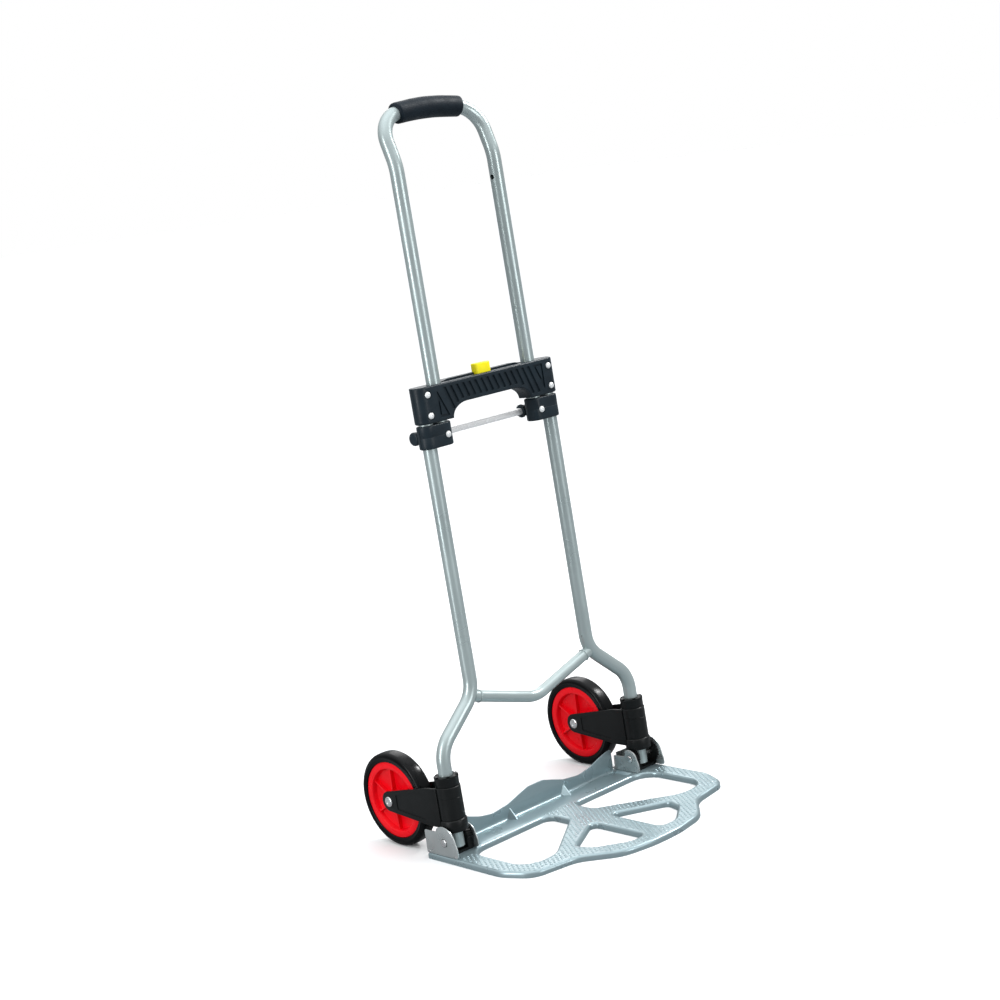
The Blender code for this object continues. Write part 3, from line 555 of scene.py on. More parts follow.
PAINTS = make_paints()
# The tie rod's near-white, mostly diffuse colour is painted reflection: it stands in for the white studio mirrored
# in its bright steel, on top of the steel's own light grey.
ROD_PAINTED_REFLECTION = surface("steel_rod_painted_reflection", (0.95, 0.95, 0.95), 0.24, 0.20, tint=(0.84, 0.85, 0.85), patch=(60, 0.3),
                    grain=(2000, 0.1), bump=(900, 0.00001))
SCREW_PAINT = surface("screw_head", (0.86, 0.88, 0.88), 0.42, 0.35, tint=(0.66, 0.69, 0.70), patch=(260, 0.5),
                      grain=(2000, 0.2), bump=(900, 0.00002))
for node_name, node_object in frame["nodes"].items():
    node_object.data.materials.clear()
    node_object.data.materials.append(PAINTS[SLOT_OF[node_name]])


# ---------------------------------------------------------------- frame tubes
def leg_path(side):
    low, high = span("right_leg_tube")
    corners = [((LEG_X, 0, low.z), 0, 0), ((LEG_X, 0, LEG_BENDS[0]), LEG_BEND_R, 14),
               ((BRACKET_END_X, 0, LEG_BENDS[1]), LEG_BEND_R, 14), ((BRACKET_END_X, 0, high.z), 0, 0)]
    return [(side * p.x, p.y, p.z) for p in rounded(corners, closed=False)]


def weld_bead(center, normal, radius, lumps=22, thick=0.0013, rings=88, around=8):
    """A rippled ring of weld metal round a tube's end."""
    bm = bmesh.new()
    normal = Vector(normal).normalized()
    side = normal.orthogonal().normalized()
    other = normal.cross(side)
    grid = []
    for k in range(rings):
        a = 2 * math.pi * k / rings
        out = side * math.cos(a) + other * math.sin(a)
        size = thick * (0.86 + 0.16 * math.cos(lumps * a))
        ring = []
        for s in range(around):
            b = 2 * math.pi * s / around
            spot = Vector(center) + out * (radius + size * math.cos(b)) + normal * size * math.sin(b)
            ring.append(bm.verts.new(spot))
        grid.append(ring)
    for this, then in zip(grid, grid[1:] + grid[:1]):
        bridge(bm, this, then)
    return bm


def frame_tubes():
    for name, side in SIDES.items():
        foot = side * LEG_X
        pin_hole = crosswise(HINGE_PIN_R + GAP, foot - 0.02, foot + 0.02, 0, 0, 32)
        tube = swept(leg_path(side), TUBE_R, TUBE_R - TUBE_WALL, 48)
        fine(f"{name}_leg_tube", shaped(tube, (CUT, pin_hole)))
    corners = [((-BRACKET_END_X, 0, CROSSBAR_END_UP), 0, 0), ((0, 0, CROSSBAR_MID_UP), CROSSBAR_BEND_R, 16),
               ((BRACKET_END_X, 0, CROSSBAR_END_UP), 0, 0)]
    legs = [(CUT, swept(leg_path(side), TUBE_R - 0.0006)) for side in SIDES.values()]
    fine("crossbar", shaped(swept(rounded(corners, closed=False), CROSSBAR_R, CROSSBAR_R - TUBE_WALL), *legs))
    for name, side in SIDES.items():
        direction = Vector((side * BRACKET_END_X, 0, CROSSBAR_END_UP - CROSSBAR_MID_UP)).normalized()
        reach = (BRACKET_END_X - TUBE_R * 1.02) / abs(direction.x)
        spot = Vector((0, 0, CROSSBAR_MID_UP)) + direction * reach
        extra(f"{name}_crossbar_weld", weld_bead(spot, direction, CROSSBAR_R + 0.0002), "frame",
              "powder_coated_tube")


# ---------------------------------------------------------------- handle
def handle_path():
    low = span("handle_tube")[0].z
    back, up = HANDLE_CORNER
    corners = [((-HANDLE_X, 0, low), 0, 0), ((-HANDLE_X, 0, HANDLE_KINK_UP), HANDLE_KINK_R, 8),
               ((-HANDLE_X, back, up), HANDLE_CORNER_R, 16), ((0, HANDLE_MID[0], HANDLE_MID[1]), 0.400, 10),
               ((HANDLE_X, back, up), HANDLE_CORNER_R, 16), ((HANDLE_X, 0, HANDLE_KINK_UP), HANDLE_KINK_R, 8),
               ((HANDLE_X, 0, low), 0, 0)]
    return rounded(corners, closed=False)


def handle():
    holes = []
    for side in SIDES.values():
        for up in (LOCK_UP, LOCK_UP + TRAVEL):
            hole = crosswise(LOCK_HOLE_R, side * (HANDLE_X - 0.02), side * HANDLE_X, 0, up, 24)
            holes.append((CUT, hole))
    fine("handle_tube", shaped(swept(handle_path(), TUBE_R, TUBE_R - TUBE_WALL, 48), *holes))


def grip():
    """Foam sleeve: rounded ends, a soft swell towards the middle, and faint waves from the hand."""
    line = [Vector(p) for p in handle_path()]
    bar = [p for p in line if abs(p.x) < GRIP_HALF]
    below = [p for p in line if p.x <= -GRIP_HALF][-1]
    start = below.lerp(bar[0], (GRIP_HALF + below.x) / (below.x - bar[0].x))
    ends = [start] + bar + [Vector((-start.x, start.y, start.z))]
    dense = []
    for first, last in zip(ends, ends[1:]):
        steps = max(1, round((last - first).length / 0.0016))
        dense += [first.lerp(last, k / steps) for k in range(steps)]
    dense.append(ends[-1])

    def radius_at(k):
        """Radius of ring k as a share of GRIP_R."""
        x = abs(dense[k].x)
        swell = 0.985 + 0.015 * math.cos(math.pi * x / GRIP_HALF / 1.2)
        inward = (GRIP_HALF - x) / GRIP_EDGE
        if inward > 1:
            return swell + 0.004 * math.sin(k * 0.31) * math.sin(k * 0.083 + 1.1)
        return swell - 0.16 * (1 - math.sqrt(max(0.0, 1 - (1 - inward) ** 2)))

    made = fine("grip", swept(dense, GRIP_R, TUBE_R + GAP / 3, 56, radius_at), sharp=60)


# ---------------------------------------------------------------- bracket, button, sliders, tie rod
def arch_edge(x, low):
    """Height of the hand's arch over x."""
    if abs(x) <= ARCH_HALF:
        return ARCH_UP
    share = min(1.0, (abs(x) - ARCH_HALF) / (ARCH_FOOT - ARCH_HALF))
    return low + (ARCH_UP - low) * math.sqrt(1 - share * share)


def arch_tool(low):
    """The space under the hand's arch, flared where it leaves the bracket so that the edges round off."""
    arch = [(ARCH_HALF + (ARCH_FOOT - ARCH_HALF) * math.sin(a), low + (ARCH_UP - low) * math.cos(a))
            for a in (math.radians(7.5 * k) for k in range(13))]
    outline = mirrored([(0, ARCH_UP)] + arch + [(ARCH_FOOT, low - OVER), (0, low - OVER)])
    face = BRACKET_DEPTH
    flare = [(face - 0.0018, 0), (face - 0.0009, -0.0003), (face - 0.0003, -0.0009), (face + 0.0003, -0.0018),
             (0.03, -0.0018)]
    return loft(outline, [(-y, inset) for y, inset in reversed(flare)] + flare, across_y)


def end_triangles():
    """A triangular groove at each end of the slanted ones, as tools with a standing middle."""
    low, high = GROOVE_SPAN
    face = -BRACKET_DEPTH
    tools = []
    for corners in (((-0.1090, high), (-0.1090, low), (-0.0895, low)),
                    ((0.1130, low), (0.1130, high), (0.0935, high))):
        a, b, c = [Vector(p) for p in corners]
        sides = [(b - c).length, (c - a).length, (a - b).length]
        center = (a * sides[0] + b * sides[1] + c * sides[2]) / sum(sides)
        reach = abs((b - a).cross(c - a)) / sum(sides)
        inner = [center + (p - center) * (1 - 0.0034 / reach) for p in (a, b, c)]
        island = prism(rounded([(p, 0.0008, 3) for p in inner]), face - 0.004, face + 0.004, across_y)
        groove = prism(rounded([(p, 0.0010, 3) for p in (a, b, c)]), face - 0.002, face + 0.0018, across_y)
        tools.append(shaped(groove, (CUT, island)))
    return tools


def grip_cuts(low):
    """Slanted grooves and a seat round each screw, all in the front face."""
    face = -BRACKET_DEPTH
    bottom, top = GROOVE_SPAN
    middle = (bottom + top) / 2
    levels = [(face - 0.002, -0.0005), (face - 0.0001, -0.0005), (face + 0.0005, 0),
              (face + GROOVE_DEPTH, 0.0004)]
    tools = []
    for k in range(GROOVE_COUNT):
        start = GROOVE_START + GROOVE_PITCH * k
        foot = bottom
        while foot < arch_edge(start + GROOVE_SLANT * (middle - foot), low) + 0.0055:
            foot += 0.0005
        (x0, up0), (x1, up1) = [(start + GROOVE_SLANT * (middle - up), up) for up in (foot, top)]
        corners = ((x0 - GROOVE_HALF, up0), (x0 + GROOVE_HALF, up0), (x1 + GROOVE_HALF, up1),
                   (x1 - GROOVE_HALF, up1))
        tools.append(loft(rounded([(corner, 0.0014, 3) for corner in corners]), levels, across_y))
    for side in SIDES.values():
        for up in SCREW_UPS:
            tools.append(frontal(SCREW_SEAT_R, side * SCREW_X, up, face - 0.002, face + 0.0012))
    return merged(*tools)


def bracket_shell(node, front):
    """Half of a rounded block, cut by the hand's arch, the four tubes, the lock's pins and the button."""
    low, high = span(node)
    radius = BRACKET_DEPTH + GAP / 2
    plan = arc((BRACKET_END_X, 0), radius, -90, 90, 30) + arc((-BRACKET_END_X, 0), radius, 90, 270, 30)
    bores = []
    for side in SIDES.values():
        bores.append(upright(TUBE_R + GAP, side * BRACKET_END_X, low.z - OVER, LEG_TOP + GAP))
        bores.append(upright(TUBE_R + 2 * GAP, side * HANDLE_X, low.z - OVER, high.z + OVER))
    pins = crosswise(LOCK_HOLE_R + GAP, -HANDLE_X, HANDLE_X, 0, LOCK_UP, 24)
    half, depth = BUTTON_HALF + GAP, BUTTON_DEPTH + GAP
    well = box((-half, -depth, LOCK_UP - 0.0065), (half, depth, high.z + 2 * OVER))
    near, far = (-0.05, -GAP / 2) if front else (GAP / 2, 0.05)
    keep = box((-0.2, near, low.z - 0.1), (0.2, far, high.z + 0.1))
    steps = [(WITHIN, keep), (CUT, arch_tool(low.z)), (CUT, merged(*bores)), (CUT, pins), (CUT, well)]
    if front:
        steps.append((CUT, merged(grip_cuts(low.z), *end_triangles())))
        holes = [frontal(SCREW_HOLE_R, side * SCREW_X, up, -0.03, 0, 20)
                 for side in SIDES.values() for up in SCREW_UPS]
        steps.append((CUT, merged(*holes)))
    else:
        slope_x, flat_x = CROWN_SPAN
        flat, above = high.z - CROWN, high.z + OVER
        end = [(flat_x, flat), (0.16, flat), (0.16, above), (slope_x, above), (slope_x, high.z)]
        ends = [prism([(side * x, up) for x, up in end], -0.03, 0.03, across_y) for side in SIDES.values()]
        steps.append((CUT, merged(*ends)))
    fine(node, shaped(loft(plan, eased(low.z, high.z, 0.0028, 6), across_z), *steps), sharp=30)


def screw(node, x, up, face, sunk):
    """A domed screw head that stands in a seat sunk into a face, on a short shank."""
    low, high = span(node)
    head, tall = (high.x - low.x) / 2, face + sunk - low.y
    dome = [(head * math.sin(a), low.y + tall * (1 - math.cos(a) ** 0.8))
            for a in (math.radians(d) for d in (18, 30, 42, 54, 66, 76, 84, 90))]
    profile = [(0, low.y + 0.0005), (0.0009, low.y + 0.0005), (0.0012, low.y + 0.0001)] + dome
    profile += [(0.0020, face + sunk), (0.0020, high.y), (0, high.y)]
    fine(node, turned(profile, 40, (x, 0, up), "y"), sharp=50, paint=SCREW_PAINT)


def bracket():
    bracket_shell("bracket_front_shell", True)
    bracket_shell("bracket_rear_shell", False)
    for name, side in SIDES.items():
        for label, up in zip(("lower", "upper"), SCREW_UPS):
            screw(f"{name}_{label}_bracket_screw", side * SCREW_X, up, -BRACKET_DEPTH, SCREW_SUNK)
        screw(f"{name}_slider_screw", side * HANDLE_X, SLIDER_SCREW_UP, -SLIDER_R - GAP, SLIDER_SUNK)
    low, high = span("lock_button")
    half, depth = BUTTON_HALF, BUTTON_DEPTH
    outline = rounded([(corner, BUTTON_CORNER_R, 6)
                       for corner in ((-half, -depth), (half, -depth), (half, depth), (-half, depth))])
    pocket_r, pocket_deep = SPRING_POCKET
    pocket = upright(pocket_r, 0, low.z - OVER, low.z + pocket_deep, 32)
    fine("lock_button", shaped(loft(outline, eased(low.z, high.z, 0.0022, 5), across_z), (CUT, pocket)))


def slider(name, side):
    """Both halves of a slider, cut from one rounded block along a faint moulding line."""
    inner, outer = side * HANDLE_X, side * BRACKET_END_X
    low, high = span(f"{name}_slider_front")
    below, above, middle = low.z - OVER, high.z + OVER, (low.z + high.z) / 2
    radius = SLIDER_R + GAP
    outline = arc((HANDLE_X, 0), radius, 90, 270, 28) + arc((BRACKET_END_X, 0), radius, 270, 450, 28)
    outline = [(side * x, y) for x, y in outline]
    seam = [(middle - 0.0005, 0), (middle, 0.0003), (middle + 0.0005, 0)]
    levels = sorted(eased(low.z, high.z, 0.0022, 5) + seam)
    near, far = ordered(side, 0, 0.2)

    def bores():
        return merged(upright(TUBE_R + 2 * GAP, outer, below, above),
                      upright(TUBE_R + GAP, inner, below, above))

    seat = frontal(SLIDER_SEAT_R, inner, SLIDER_SCREW_UP, -0.03, -SLIDER_R + SLIDER_SUNK)
    hole = frontal(SCREW_HOLE_R, inner, SLIDER_SCREW_UP, -0.03, 0, 20)
    keep = box((near, -0.05, below), (far, -GAP, above))
    fine(f"{name}_slider_front",
         shaped(loft(outline, levels, across_z), (WITHIN, keep), (CUT, bores()), (CUT, seat), (CUT, hole)))

    top, foot, rear = ROD_UP + ROD_LUG_HALF, ROD_UP - ROD_LUG_HALF, ROD_BACK + ROD_LUG_PAST
    lug = rounded([((0.0100, top), 0.002, 3), ((0.0100, foot), 0.002, 3), ((rear, foot), 0.0075, 8),
                   ((rear, top), 0.0075, 8)])
    arm = loft(lug, eased(*ordered(side, *ROD_LUG_X), 0.0014, 4), across_x)
    keep = box((near, GAP, below), (far, 0.05, above))
    bore = crosswise(ROD_R + GAP, side * 0.09, side * 0.14, ROD_BACK, ROD_UP, 32)
    fine(f"{name}_slider_rear",
         shaped(loft(outline, levels, across_z), (WITHIN, keep), (JOIN, arm), (CUT, bores()), (CUT, bore)))


def tie_rod():
    low, high = span("tie_rod")
    fine("tie_rod", crosswise(ROD_R, low.x, high.x, ROD_BACK, ROD_UP), bevel=0.0006, paint=ROD_PAINTED_REFLECTION)
    bore = ROD_R + GAP
    for name, side in SIDES.items():
        low, high = span(f"{name}_rod_socket")
        ribs = []
        for k in range(6 * SOCKET_RIBS):
            a = 2 * math.pi * k / (6 * SOCKET_RIBS)
            swing = max(-1.0, min(1.0, 1.8 * math.cos(SOCKET_RIBS * a)))
            radius = ROD_END_R - SOCKET_RIB_DEPTH + SOCKET_RIB_DEPTH * swing
            ribs.append((ROD_BACK + radius * math.cos(a), ROD_UP + radius * math.sin(a)))
        hollow = crosswise(bore, low.x - OVER, high.x + OVER, ROD_BACK, ROD_UP)
        socket = loft(ribs, eased(low.x, high.x, 0.0010, 3), across_x)
        fine(f"{name}_rod_socket", shaped(socket, (CUT, hollow)))
        low, high = span(f"{name}_rod_cap")
        near, far = (low.x, high.x) if side > 0 else (high.x, low.x)
        dome = [(ROD_END_R - CAP_ROUND * (1 - math.cos(a)), far - side * CAP_ROUND * (1 - math.sin(a)))
                for a in (math.radians(10 * k) for k in range(9))]
        profile = [(bore, near), (ROD_END_R - 0.0006, near), (ROD_END_R, near + side * 0.0006)] + dome
        profile += [(0, far), (0, far - side * 0.0030), (bore, far - side * 0.0030)]
        fine(f"{name}_rod_cap", turned(profile, 48, (0, ROD_BACK, ROD_UP)))


# ---------------------------------------------------------------- wheel side: collar, ring, fork, wheel
def sleeve_parts(name, side):
    x = side * LEG_X
    bore = TUBE_R + GAP
    low, high = span(f"{name}_sleeve_collar")
    radius = (high.x - low.x) / 2
    profile = [(bore, low.z), (radius - 0.0008, low.z), (radius - 0.0004, low.z + 0.0006),
               (radius - 0.0004, high.z - 0.0052), (radius, high.z - 0.0046), (radius, high.z - 0.0008),
               (radius - 0.0008, high.z), (bore + 0.0012, high.z), (bore, high.z - 0.0010)]
    notches = []
    for k in range(COLLAR_NOTCHES):
        tool = box((-0.0026, radius - 0.0042, high.z - 0.0024), (0.0026, radius + 0.002, high.z + 0.002))
        bmesh.ops.rotate(tool, verts=tool.verts, cent=(0, 0, 0),
                         matrix=Matrix.Rotation(2 * math.pi * (k + 0.5) / COLLAR_NOTCHES, 3, "Z"))
        bmesh.ops.translate(tool, verts=tool.verts, vec=(x, 0, 0))
        notches.append(tool)
    collar = shaped(turned(profile, 72, (x, 0, 0), "z"), (CUT, merged(*notches)))
    fine(f"{name}_sleeve_collar", collar, bevel=0.0004, segments=2)

    low, high = span(f"{name}_sleeve_ring")
    radius = (high.x - low.x) / 2
    seat = SLEEVE_TUBE_R + GAP
    profile = [(seat, low.z), (radius - 0.0010, low.z), (radius - 0.0003, low.z + 0.0004),
               (radius, low.z + 0.0012), (radius, high.z - 0.0020), (radius - 0.0005, high.z - 0.0010),
               (radius - 0.0016, high.z), (seat, high.z)]
    fine(f"{name}_sleeve_ring", turned(profile, 72, (x, 0, 0), "z"))


def fork(name, side):
    """Sleeve with its moulding lines, and two arms with a sunk panel in each outer face."""
    node = f"{name}_wheel_fork"
    x = side * LEG_X
    low = span(node)[0].z
    shoulder = span(f"{name}_sleeve_ring")[1].z + GAP
    top = span(f"{name}_sleeve_collar")[0].z - GAP
    line = top - 0.0170
    thin, wide = SLEEVE_TUBE_R, SLEEVE_R
    profile = [(0, low), (thin - 0.0004, low), (thin, low + 0.0004), (thin, shoulder),
               (wide - 0.0006, shoulder), (wide, shoulder + 0.0006), (wide, line - 0.0006),
               (wide - 0.0005, line - 0.0002), (wide - 0.0005, line + 0.0002), (wide, line + 0.0006),
               (wide, top - 0.0008), (wide - 0.0008, top), (0, top)]
    axle = LEANING.inverted() @ Vector((x, AXLE.y, AXLE.z))
    arm = [(ARM_ROOT, ARM_FRONT_LOW), (0.0340, ARM_FRONT_LOW + 0.0006)]
    arm += arc((axle.y, axle.z), ARM_END_R, -80, 80, 28)
    arm += [(0.0300, top - 0.0019), (ARM_ROOT, top - 0.0003)]
    panel = rounded([(corner, 0.002, 4) for corner in ((0.0400, 0.0300), (0.1060, 0.0385), (0.1060, 0.0620),
                                                       (0.0400, 0.0735))])
    steps = []
    for way in (side, -side):
        ends = sorted((x + way * ARM_IN, x + way * ARM_OUT))
        ring = upright(RING_R + 2 * GAP, x, 0.01, shoulder + GAP, 96)
        steps.append((JOIN, shaped(loft(arm, eased(*ends, 0.0008, 3), across_x), (CUT, ring))))
    steps.append((JOIN, box((x - ARM_IN - 0.001, ARM_ROOT, shoulder + GAP),
                            (x + ARM_IN + 0.001, ARM_ROOT + 0.012, 0.0780))))
    for way in (side, -side):
        sunk = sorted((x + way * (ARM_OUT - PANEL_DEPTH), x + way * (ARM_OUT + 0.004)))
        steps.append((CUT, prism(panel, *sunk, across_x)))
    steps.append((CUT, crosswise(AXLE_R + GAP, x - 0.03, x + 0.03, axle.y, axle.z, 32)))
    steps.append((CUT, upright(TUBE_R + GAP, x, low - OVER, top + OVER)))
    fine(node, shaped(turned(profile, 72, (x, 0, 0), "z"), *steps), sharp=35)


def rib(angle, near, far, thick, tall):
    """A tapered radial rib of a wheel, as the hull of its eight corners."""
    bm = bmesh.new()
    for radius, half, reach in ((near, thick[0], tall[0]), (far, thick[1], tall[1])):
        for across in (-half, half):
            for along in (-reach, reach):
                u = radius * math.cos(angle) - across * math.sin(angle)
                v = radius * math.sin(angle) + across * math.cos(angle)
                bm.verts.new((along, u, v))
    bmesh.ops.convex_hull(bm, input=bm.verts)
    return bm


def both_ways(half):
    """A (radius, length) profile from its outer half."""
    return half + [(radius, -along) for radius, along in reversed(half) if along > 0]


def wheel(name, side):
    place = Matrix.Translation((side * LEG_X, AXLE.y, AXLE.z))
    half, seat = WHEEL_HALF, RIM_R + GAP
    flank = [(seat, half - 0.0016), (seat + 0.0008, half - 0.0007), (seat + 0.0020, half - 0.0004),
             (0.0664, half - 0.0003), (0.0668, half), (0.0676, half), (0.0680, half - 0.0006)]
    shoulder = [(0.0683 + 0.0064 * math.sin(a), half - 0.0071 + 0.0064 * math.cos(a))
                for a in (math.radians(10 * k) for k in range(1, 10))]
    tyre = both_ways(flank + shoulder + [(WHEEL_R - 0.0001, 0.0040), (WHEEL_R, 0)])
    fine(f"{name}_tyre", turned(tyre, 120), place, sharp=50)
    bore = BUSH_R + GAP
    rim = both_ways([(bore, HUB_HALF), (0.0118, HUB_HALF), (0.0128, HUB_HALF - 0.0008), (0.0138, 0.0045),
                     (0.0155, 0.0032), (0.0470, 0.0030), (0.0482, 0.0036), (0.0488, 0.0048), (0.0498, 0.0110),
                     (0.0504, 0.0118), (0.0512, 0.0120), (0.0600, 0.0120), (0.0607, 0.0116), (RIM_R, 0.0106)])
    ribs = [rib(math.radians(RIB_TURN + 360 * k / RIB_COUNT), *RIB_REACH, RIB_THICK, RIB_TALL)
            for k in range(RIB_COUNT)]
    fine(f"{name}_rim", merged(turned(rim, 96), *ribs), place, sharp=32)
    reach = HUB_HALF + 0.001
    bush = [(AXLE_R + GAP, -reach), (BUSH_R - 0.0004, -reach), (BUSH_R, -reach + 0.0004),
            (BUSH_R, reach - 0.0004), (BUSH_R - 0.0004, reach), (AXLE_R + GAP, reach)]
    fine(f"{name}_bush", turned(bush, 40), place)
    reach = ARM_OUT + 0.0008
    fine(f"{name}_axle", rod(AXLE_R, (-reach, 0, 0), (reach, 0, 0), 40), place)
    for label, way in (("outer", side), ("inner", -side)):
        low, high = ARM_OUT + GAP, ARM_OUT + AXLE_CAP_HIGH
        bore, deep = AXLE_R + GAP, reach + GAP
        dome = [(AXLE_CAP_R * math.cos(a), low + 0.0007 + (high - low - 0.0007) * math.sin(a))
                for a in (math.radians(d) for d in (0, 12, 25, 38, 50, 60))]
        profile = [(bore, low), (AXLE_CAP_R, low)] + dome
        profile += [(0.0032, high - 0.0001), (0.0026, high - 0.0007), (0, high - 0.0007), (0, deep),
                    (bore, deep)]
        fine(f"{name}_{label}_axle_cap", turned([(r, way * a) for r, a in profile], 48), place, sharp=30)


# ---------------------------------------------------------------- toe plate
def plate_outlines():
    """The plate's edge and its four openings from above, each counter-clockwise."""
    y = NOSE_Y
    under_wall, rear = WALL_Y + 0.002, WALL_Y + 0.006
    corners = [((0, under_wall), 0, 0), ((0.1785, under_wall), 0, 0), ((0.1785, rear), 0, 0),
               ((0.2325, rear), 0.004, 5), ((0.2335, y + 0.1240), 0.050, 14),
               ((0.2120, y + 0.0745), 0.036, 20), ((0.1350, y + 0.0605), 0.050, 14),
               ((0.0860, y + 0.0120), 0.070, 14), ((0.0300, y + 0.0010), 0.120, 8), ((0, y), 0, 0)]
    outer = mirrored(rounded(corners, closed=False))
    outer = [p for k, p in enumerate(outer) if (p - outer[k - 1]).length > 1e-5]
    outer.reverse()
    large = rounded([((0.0270, y + 0.2300), 0.016, 10), ((0.0280, y + 0.1840), 0.014, 8),
                     ((0.1400, y + 0.1010), 0.050, 12), ((0.1985, y + 0.1010), 0.033, 16),
                     ((0.1990, y + 0.2300), 0.034, 16)])
    small = rounded([((0.0190, y + 0.1440), 0.009, 8), ((0.0190, y + 0.0320), 0.012, 8),
                     ((0.0500, y + 0.0320), 0.030, 8), ((0.0955, y + 0.0670), 0.016, 8),
                     ((0.1030, y + 0.0945), 0.010, 8)])
    holes = []
    for points in (large, small):
        holes += [points, [Vector((-p.x, p.y)) for p in reversed(points)]]
    return divided(outer), [divided(points) for points in holes]


def divided(points, longest=0.006):
    """The same closed outline with its long stretches divided."""
    dense = []
    for here, there in zip(points, points[1:] + points[:1]):
        steps = max(1, math.ceil((there - here).length / longest))
        dense += [here.lerp(there, k / steps) for k in range(steps)]
    return dense


def edge_distance(spots, loops):
    """Distance of each spot (n x 2 array) from the nearest stretch of the loops."""
    best = np.full(len(spots), 1.0)
    for loop in loops:
        start = np.array([tuple(p) for p in loop])
        step = np.roll(start, -1, axis=0) - start
        for a, d in zip(start, step):
            share = np.clip((spots - a) @ d / (d @ d), 0, 1)
            best = np.minimum(best, np.linalg.norm(spots - a - share[:, None] * d, axis=1))
    return best


def encloses(loop, spots):
    """Whether the closed loop goes round each spot."""
    inside = np.zeros(len(spots), bool)
    for a, b in zip(loop, loop[1:] + loop[:1]):
        if a.y != b.y:
            crosses = (a.y > spots[:, 1]) != (b.y > spots[:, 1])
            inside ^= crosses & (spots[:, 0] < (b.x - a.x) * (spots[:, 1] - a.y) / (b.y - a.y) + a.x)
    return inside


def eased_step(value, low, high):
    share = np.clip((value - low) / (high - low), 0, 1)
    return share * share * (3 - 2 * share)


def plate_height(spots, distance):
    """Top of the sheet: rolled down at every edge, sunk in a smooth strip before the wall."""
    roll = np.where(distance < ROLL_R, ROLL_R - np.sqrt(np.maximum(
        0, ROLL_R ** 2 - (ROLL_R - np.minimum(distance, ROLL_R)) ** 2)), 0)
    along = eased_step(spots[:, 1], STRIP_Y[0], STRIP_Y[1])
    across = eased_step(STRIP_HALF - np.abs(spots[:, 0]), 0, 0.003)
    return PLATE_TOP - roll - STRIP_SUNK * along * across


def skin(outer, holes, rolled, inward, drop, grid):
    """One face of the sheet, as (points, triangles): its loops moved inward, rings near the edges, a grid."""
    loops = [offset(outer, -inward)] + [offset(points, inward) for points in holes]
    spots = [tuple(p) for loop in loops for p in loop]
    edges = []
    for loop in loops:
        first = len(edges)
        edges += [(first + k, first + (k + 1) % len(loop)) for k in range(len(loop))]
    inner = []
    for reach in RING_STEPS:
        if reach > inward + 0.0003:
            rings = [offset(outer, -reach)] + [offset(points, reach) for points in holes]
            ring = np.array([tuple(p) for loop in rings for p in loop])
            away = edge_distance(ring, [outer] + holes)
            inner.append(ring[np.abs(away - reach) < 0.0002])
    inner.append(grid)
    every = np.array(spots + [tuple(p) for group in inner for p in group])
    result = geometry.delaunay_2d_cdt([Vector(p) for p in every], edges, [], 0, 1e-7)
    places = np.array([tuple(p) for p in result[0]])
    triangles = np.array(result[2])
    centers = places[triangles].mean(axis=1)
    wanted = encloses(loops[0], centers)
    for loop in loops[1:]:
        wanted &= ~encloses(loop, centers)
    heights = plate_height(places, edge_distance(places, rolled)) - drop
    return loops, np.column_stack([places, heights]), triangles[wanted]


def toe_plate():
    outer, holes = plate_outlines()
    y_rear = WALL_Y + 0.0015
    rolled = [[p for p in outer if not (p.y > y_rear and abs(p.x) < 0.178)]] + holes
    xs, ys = np.meshgrid(np.arange(-0.2320, 0.2325, 0.0042), np.concatenate([
        np.arange(NOSE_Y + 0.004, STRIP_Y[0] - 0.001, 0.0042), np.linspace(STRIP_Y[0], STRIP_Y[1], 5),
        np.arange(STRIP_Y[1] + 0.003, WALL_Y, 0.0060)]))
    grid = np.column_stack([xs.ravel(), ys.ravel()])
    grid = grid[encloses(outer, grid)]
    for points in holes:
        grid = grid[~encloses(points, grid)]
    grid = grid[edge_distance(grid, [outer] + holes) > RING_STEPS[-1] + 0.0008]
    bm = bmesh.new()
    top_loops, top_points, top_faces = skin(outer, holes, rolled, 0.0, 0.0, grid)
    low_loops, low_points, low_faces = skin(outer, holes, rolled, SHEET, SHEET, grid)

    def added(points, faces):
        verts = [bm.verts.new(p) for p in points]
        for face in faces:
            bm.faces.new([verts[k] for k in face])
        return verts

    added(top_points, top_faces)
    added(low_points, low_faces)

    def height_at(p, drop):
        spot = np.array([tuple(p)])
        return float(plate_height(spot, edge_distance(spot, rolled))[0]) - drop

    for outside, inside in zip(top_loops, low_loops):
        rows = []
        for loop, drop in ((outside, 0.0), (inside, SHEET)):
            rows.append([bm.verts.new((p[0], p[1], height_at(p, drop))) for p in loop])
            rows.append([bm.verts.new((p[0], p[1], 0.0)) for p in loop])
        above, foot, above_in, foot_in = rows
        bridge(bm, above, foot)
        bridge(bm, above_in, foot_in)
        bridge(bm, foot, foot_in)
    bmesh.ops.remove_doubles(bm, verts=bm.verts, dist=2e-6)
    loose = [v for v in bm.verts if not v.link_faces]
    bmesh.ops.delete(bm, geom=loose, context="VERTS")
    fine("toe_plate", merged(bm, plate_wall(), wall_fillet(), *darts()), Matrix.Identity(4), sharp=32)
    tread(outer, holes)


def plate_wall():
    """The upturned rear edge with its wave, and one small hole."""
    high = WALL_HIGH
    wave = [(0, high), (0.016, high), (0.040, 0.0370), (0.062, 0.0300), (0.096, 0.0260), (0.122, 0.0300),
            (0.148, 0.0390), (0.166, high), (WALL_HALF, high), (WALL_HALF, 0.0050), (0, 0.0050)]
    radii = (0, 0.030, 0.030, 0.050, 0.045, 0.045, 0.040, 0.030, 0.003, 0, 0)
    outline = mirrored(rounded([(p, r, 6 if r else 0) for p, r in zip(wave, radii)], closed=False))
    levels = eased(WALL_Y, WALL_Y + WALL_THICK, 0.0005, 3)
    hole = frontal(0.0011, 0.0750, 0.0225, WALL_Y - OVER, WALL_Y + OVER, 20)
    return shaped(loft(outline, levels, across_y), (CUT, hole))


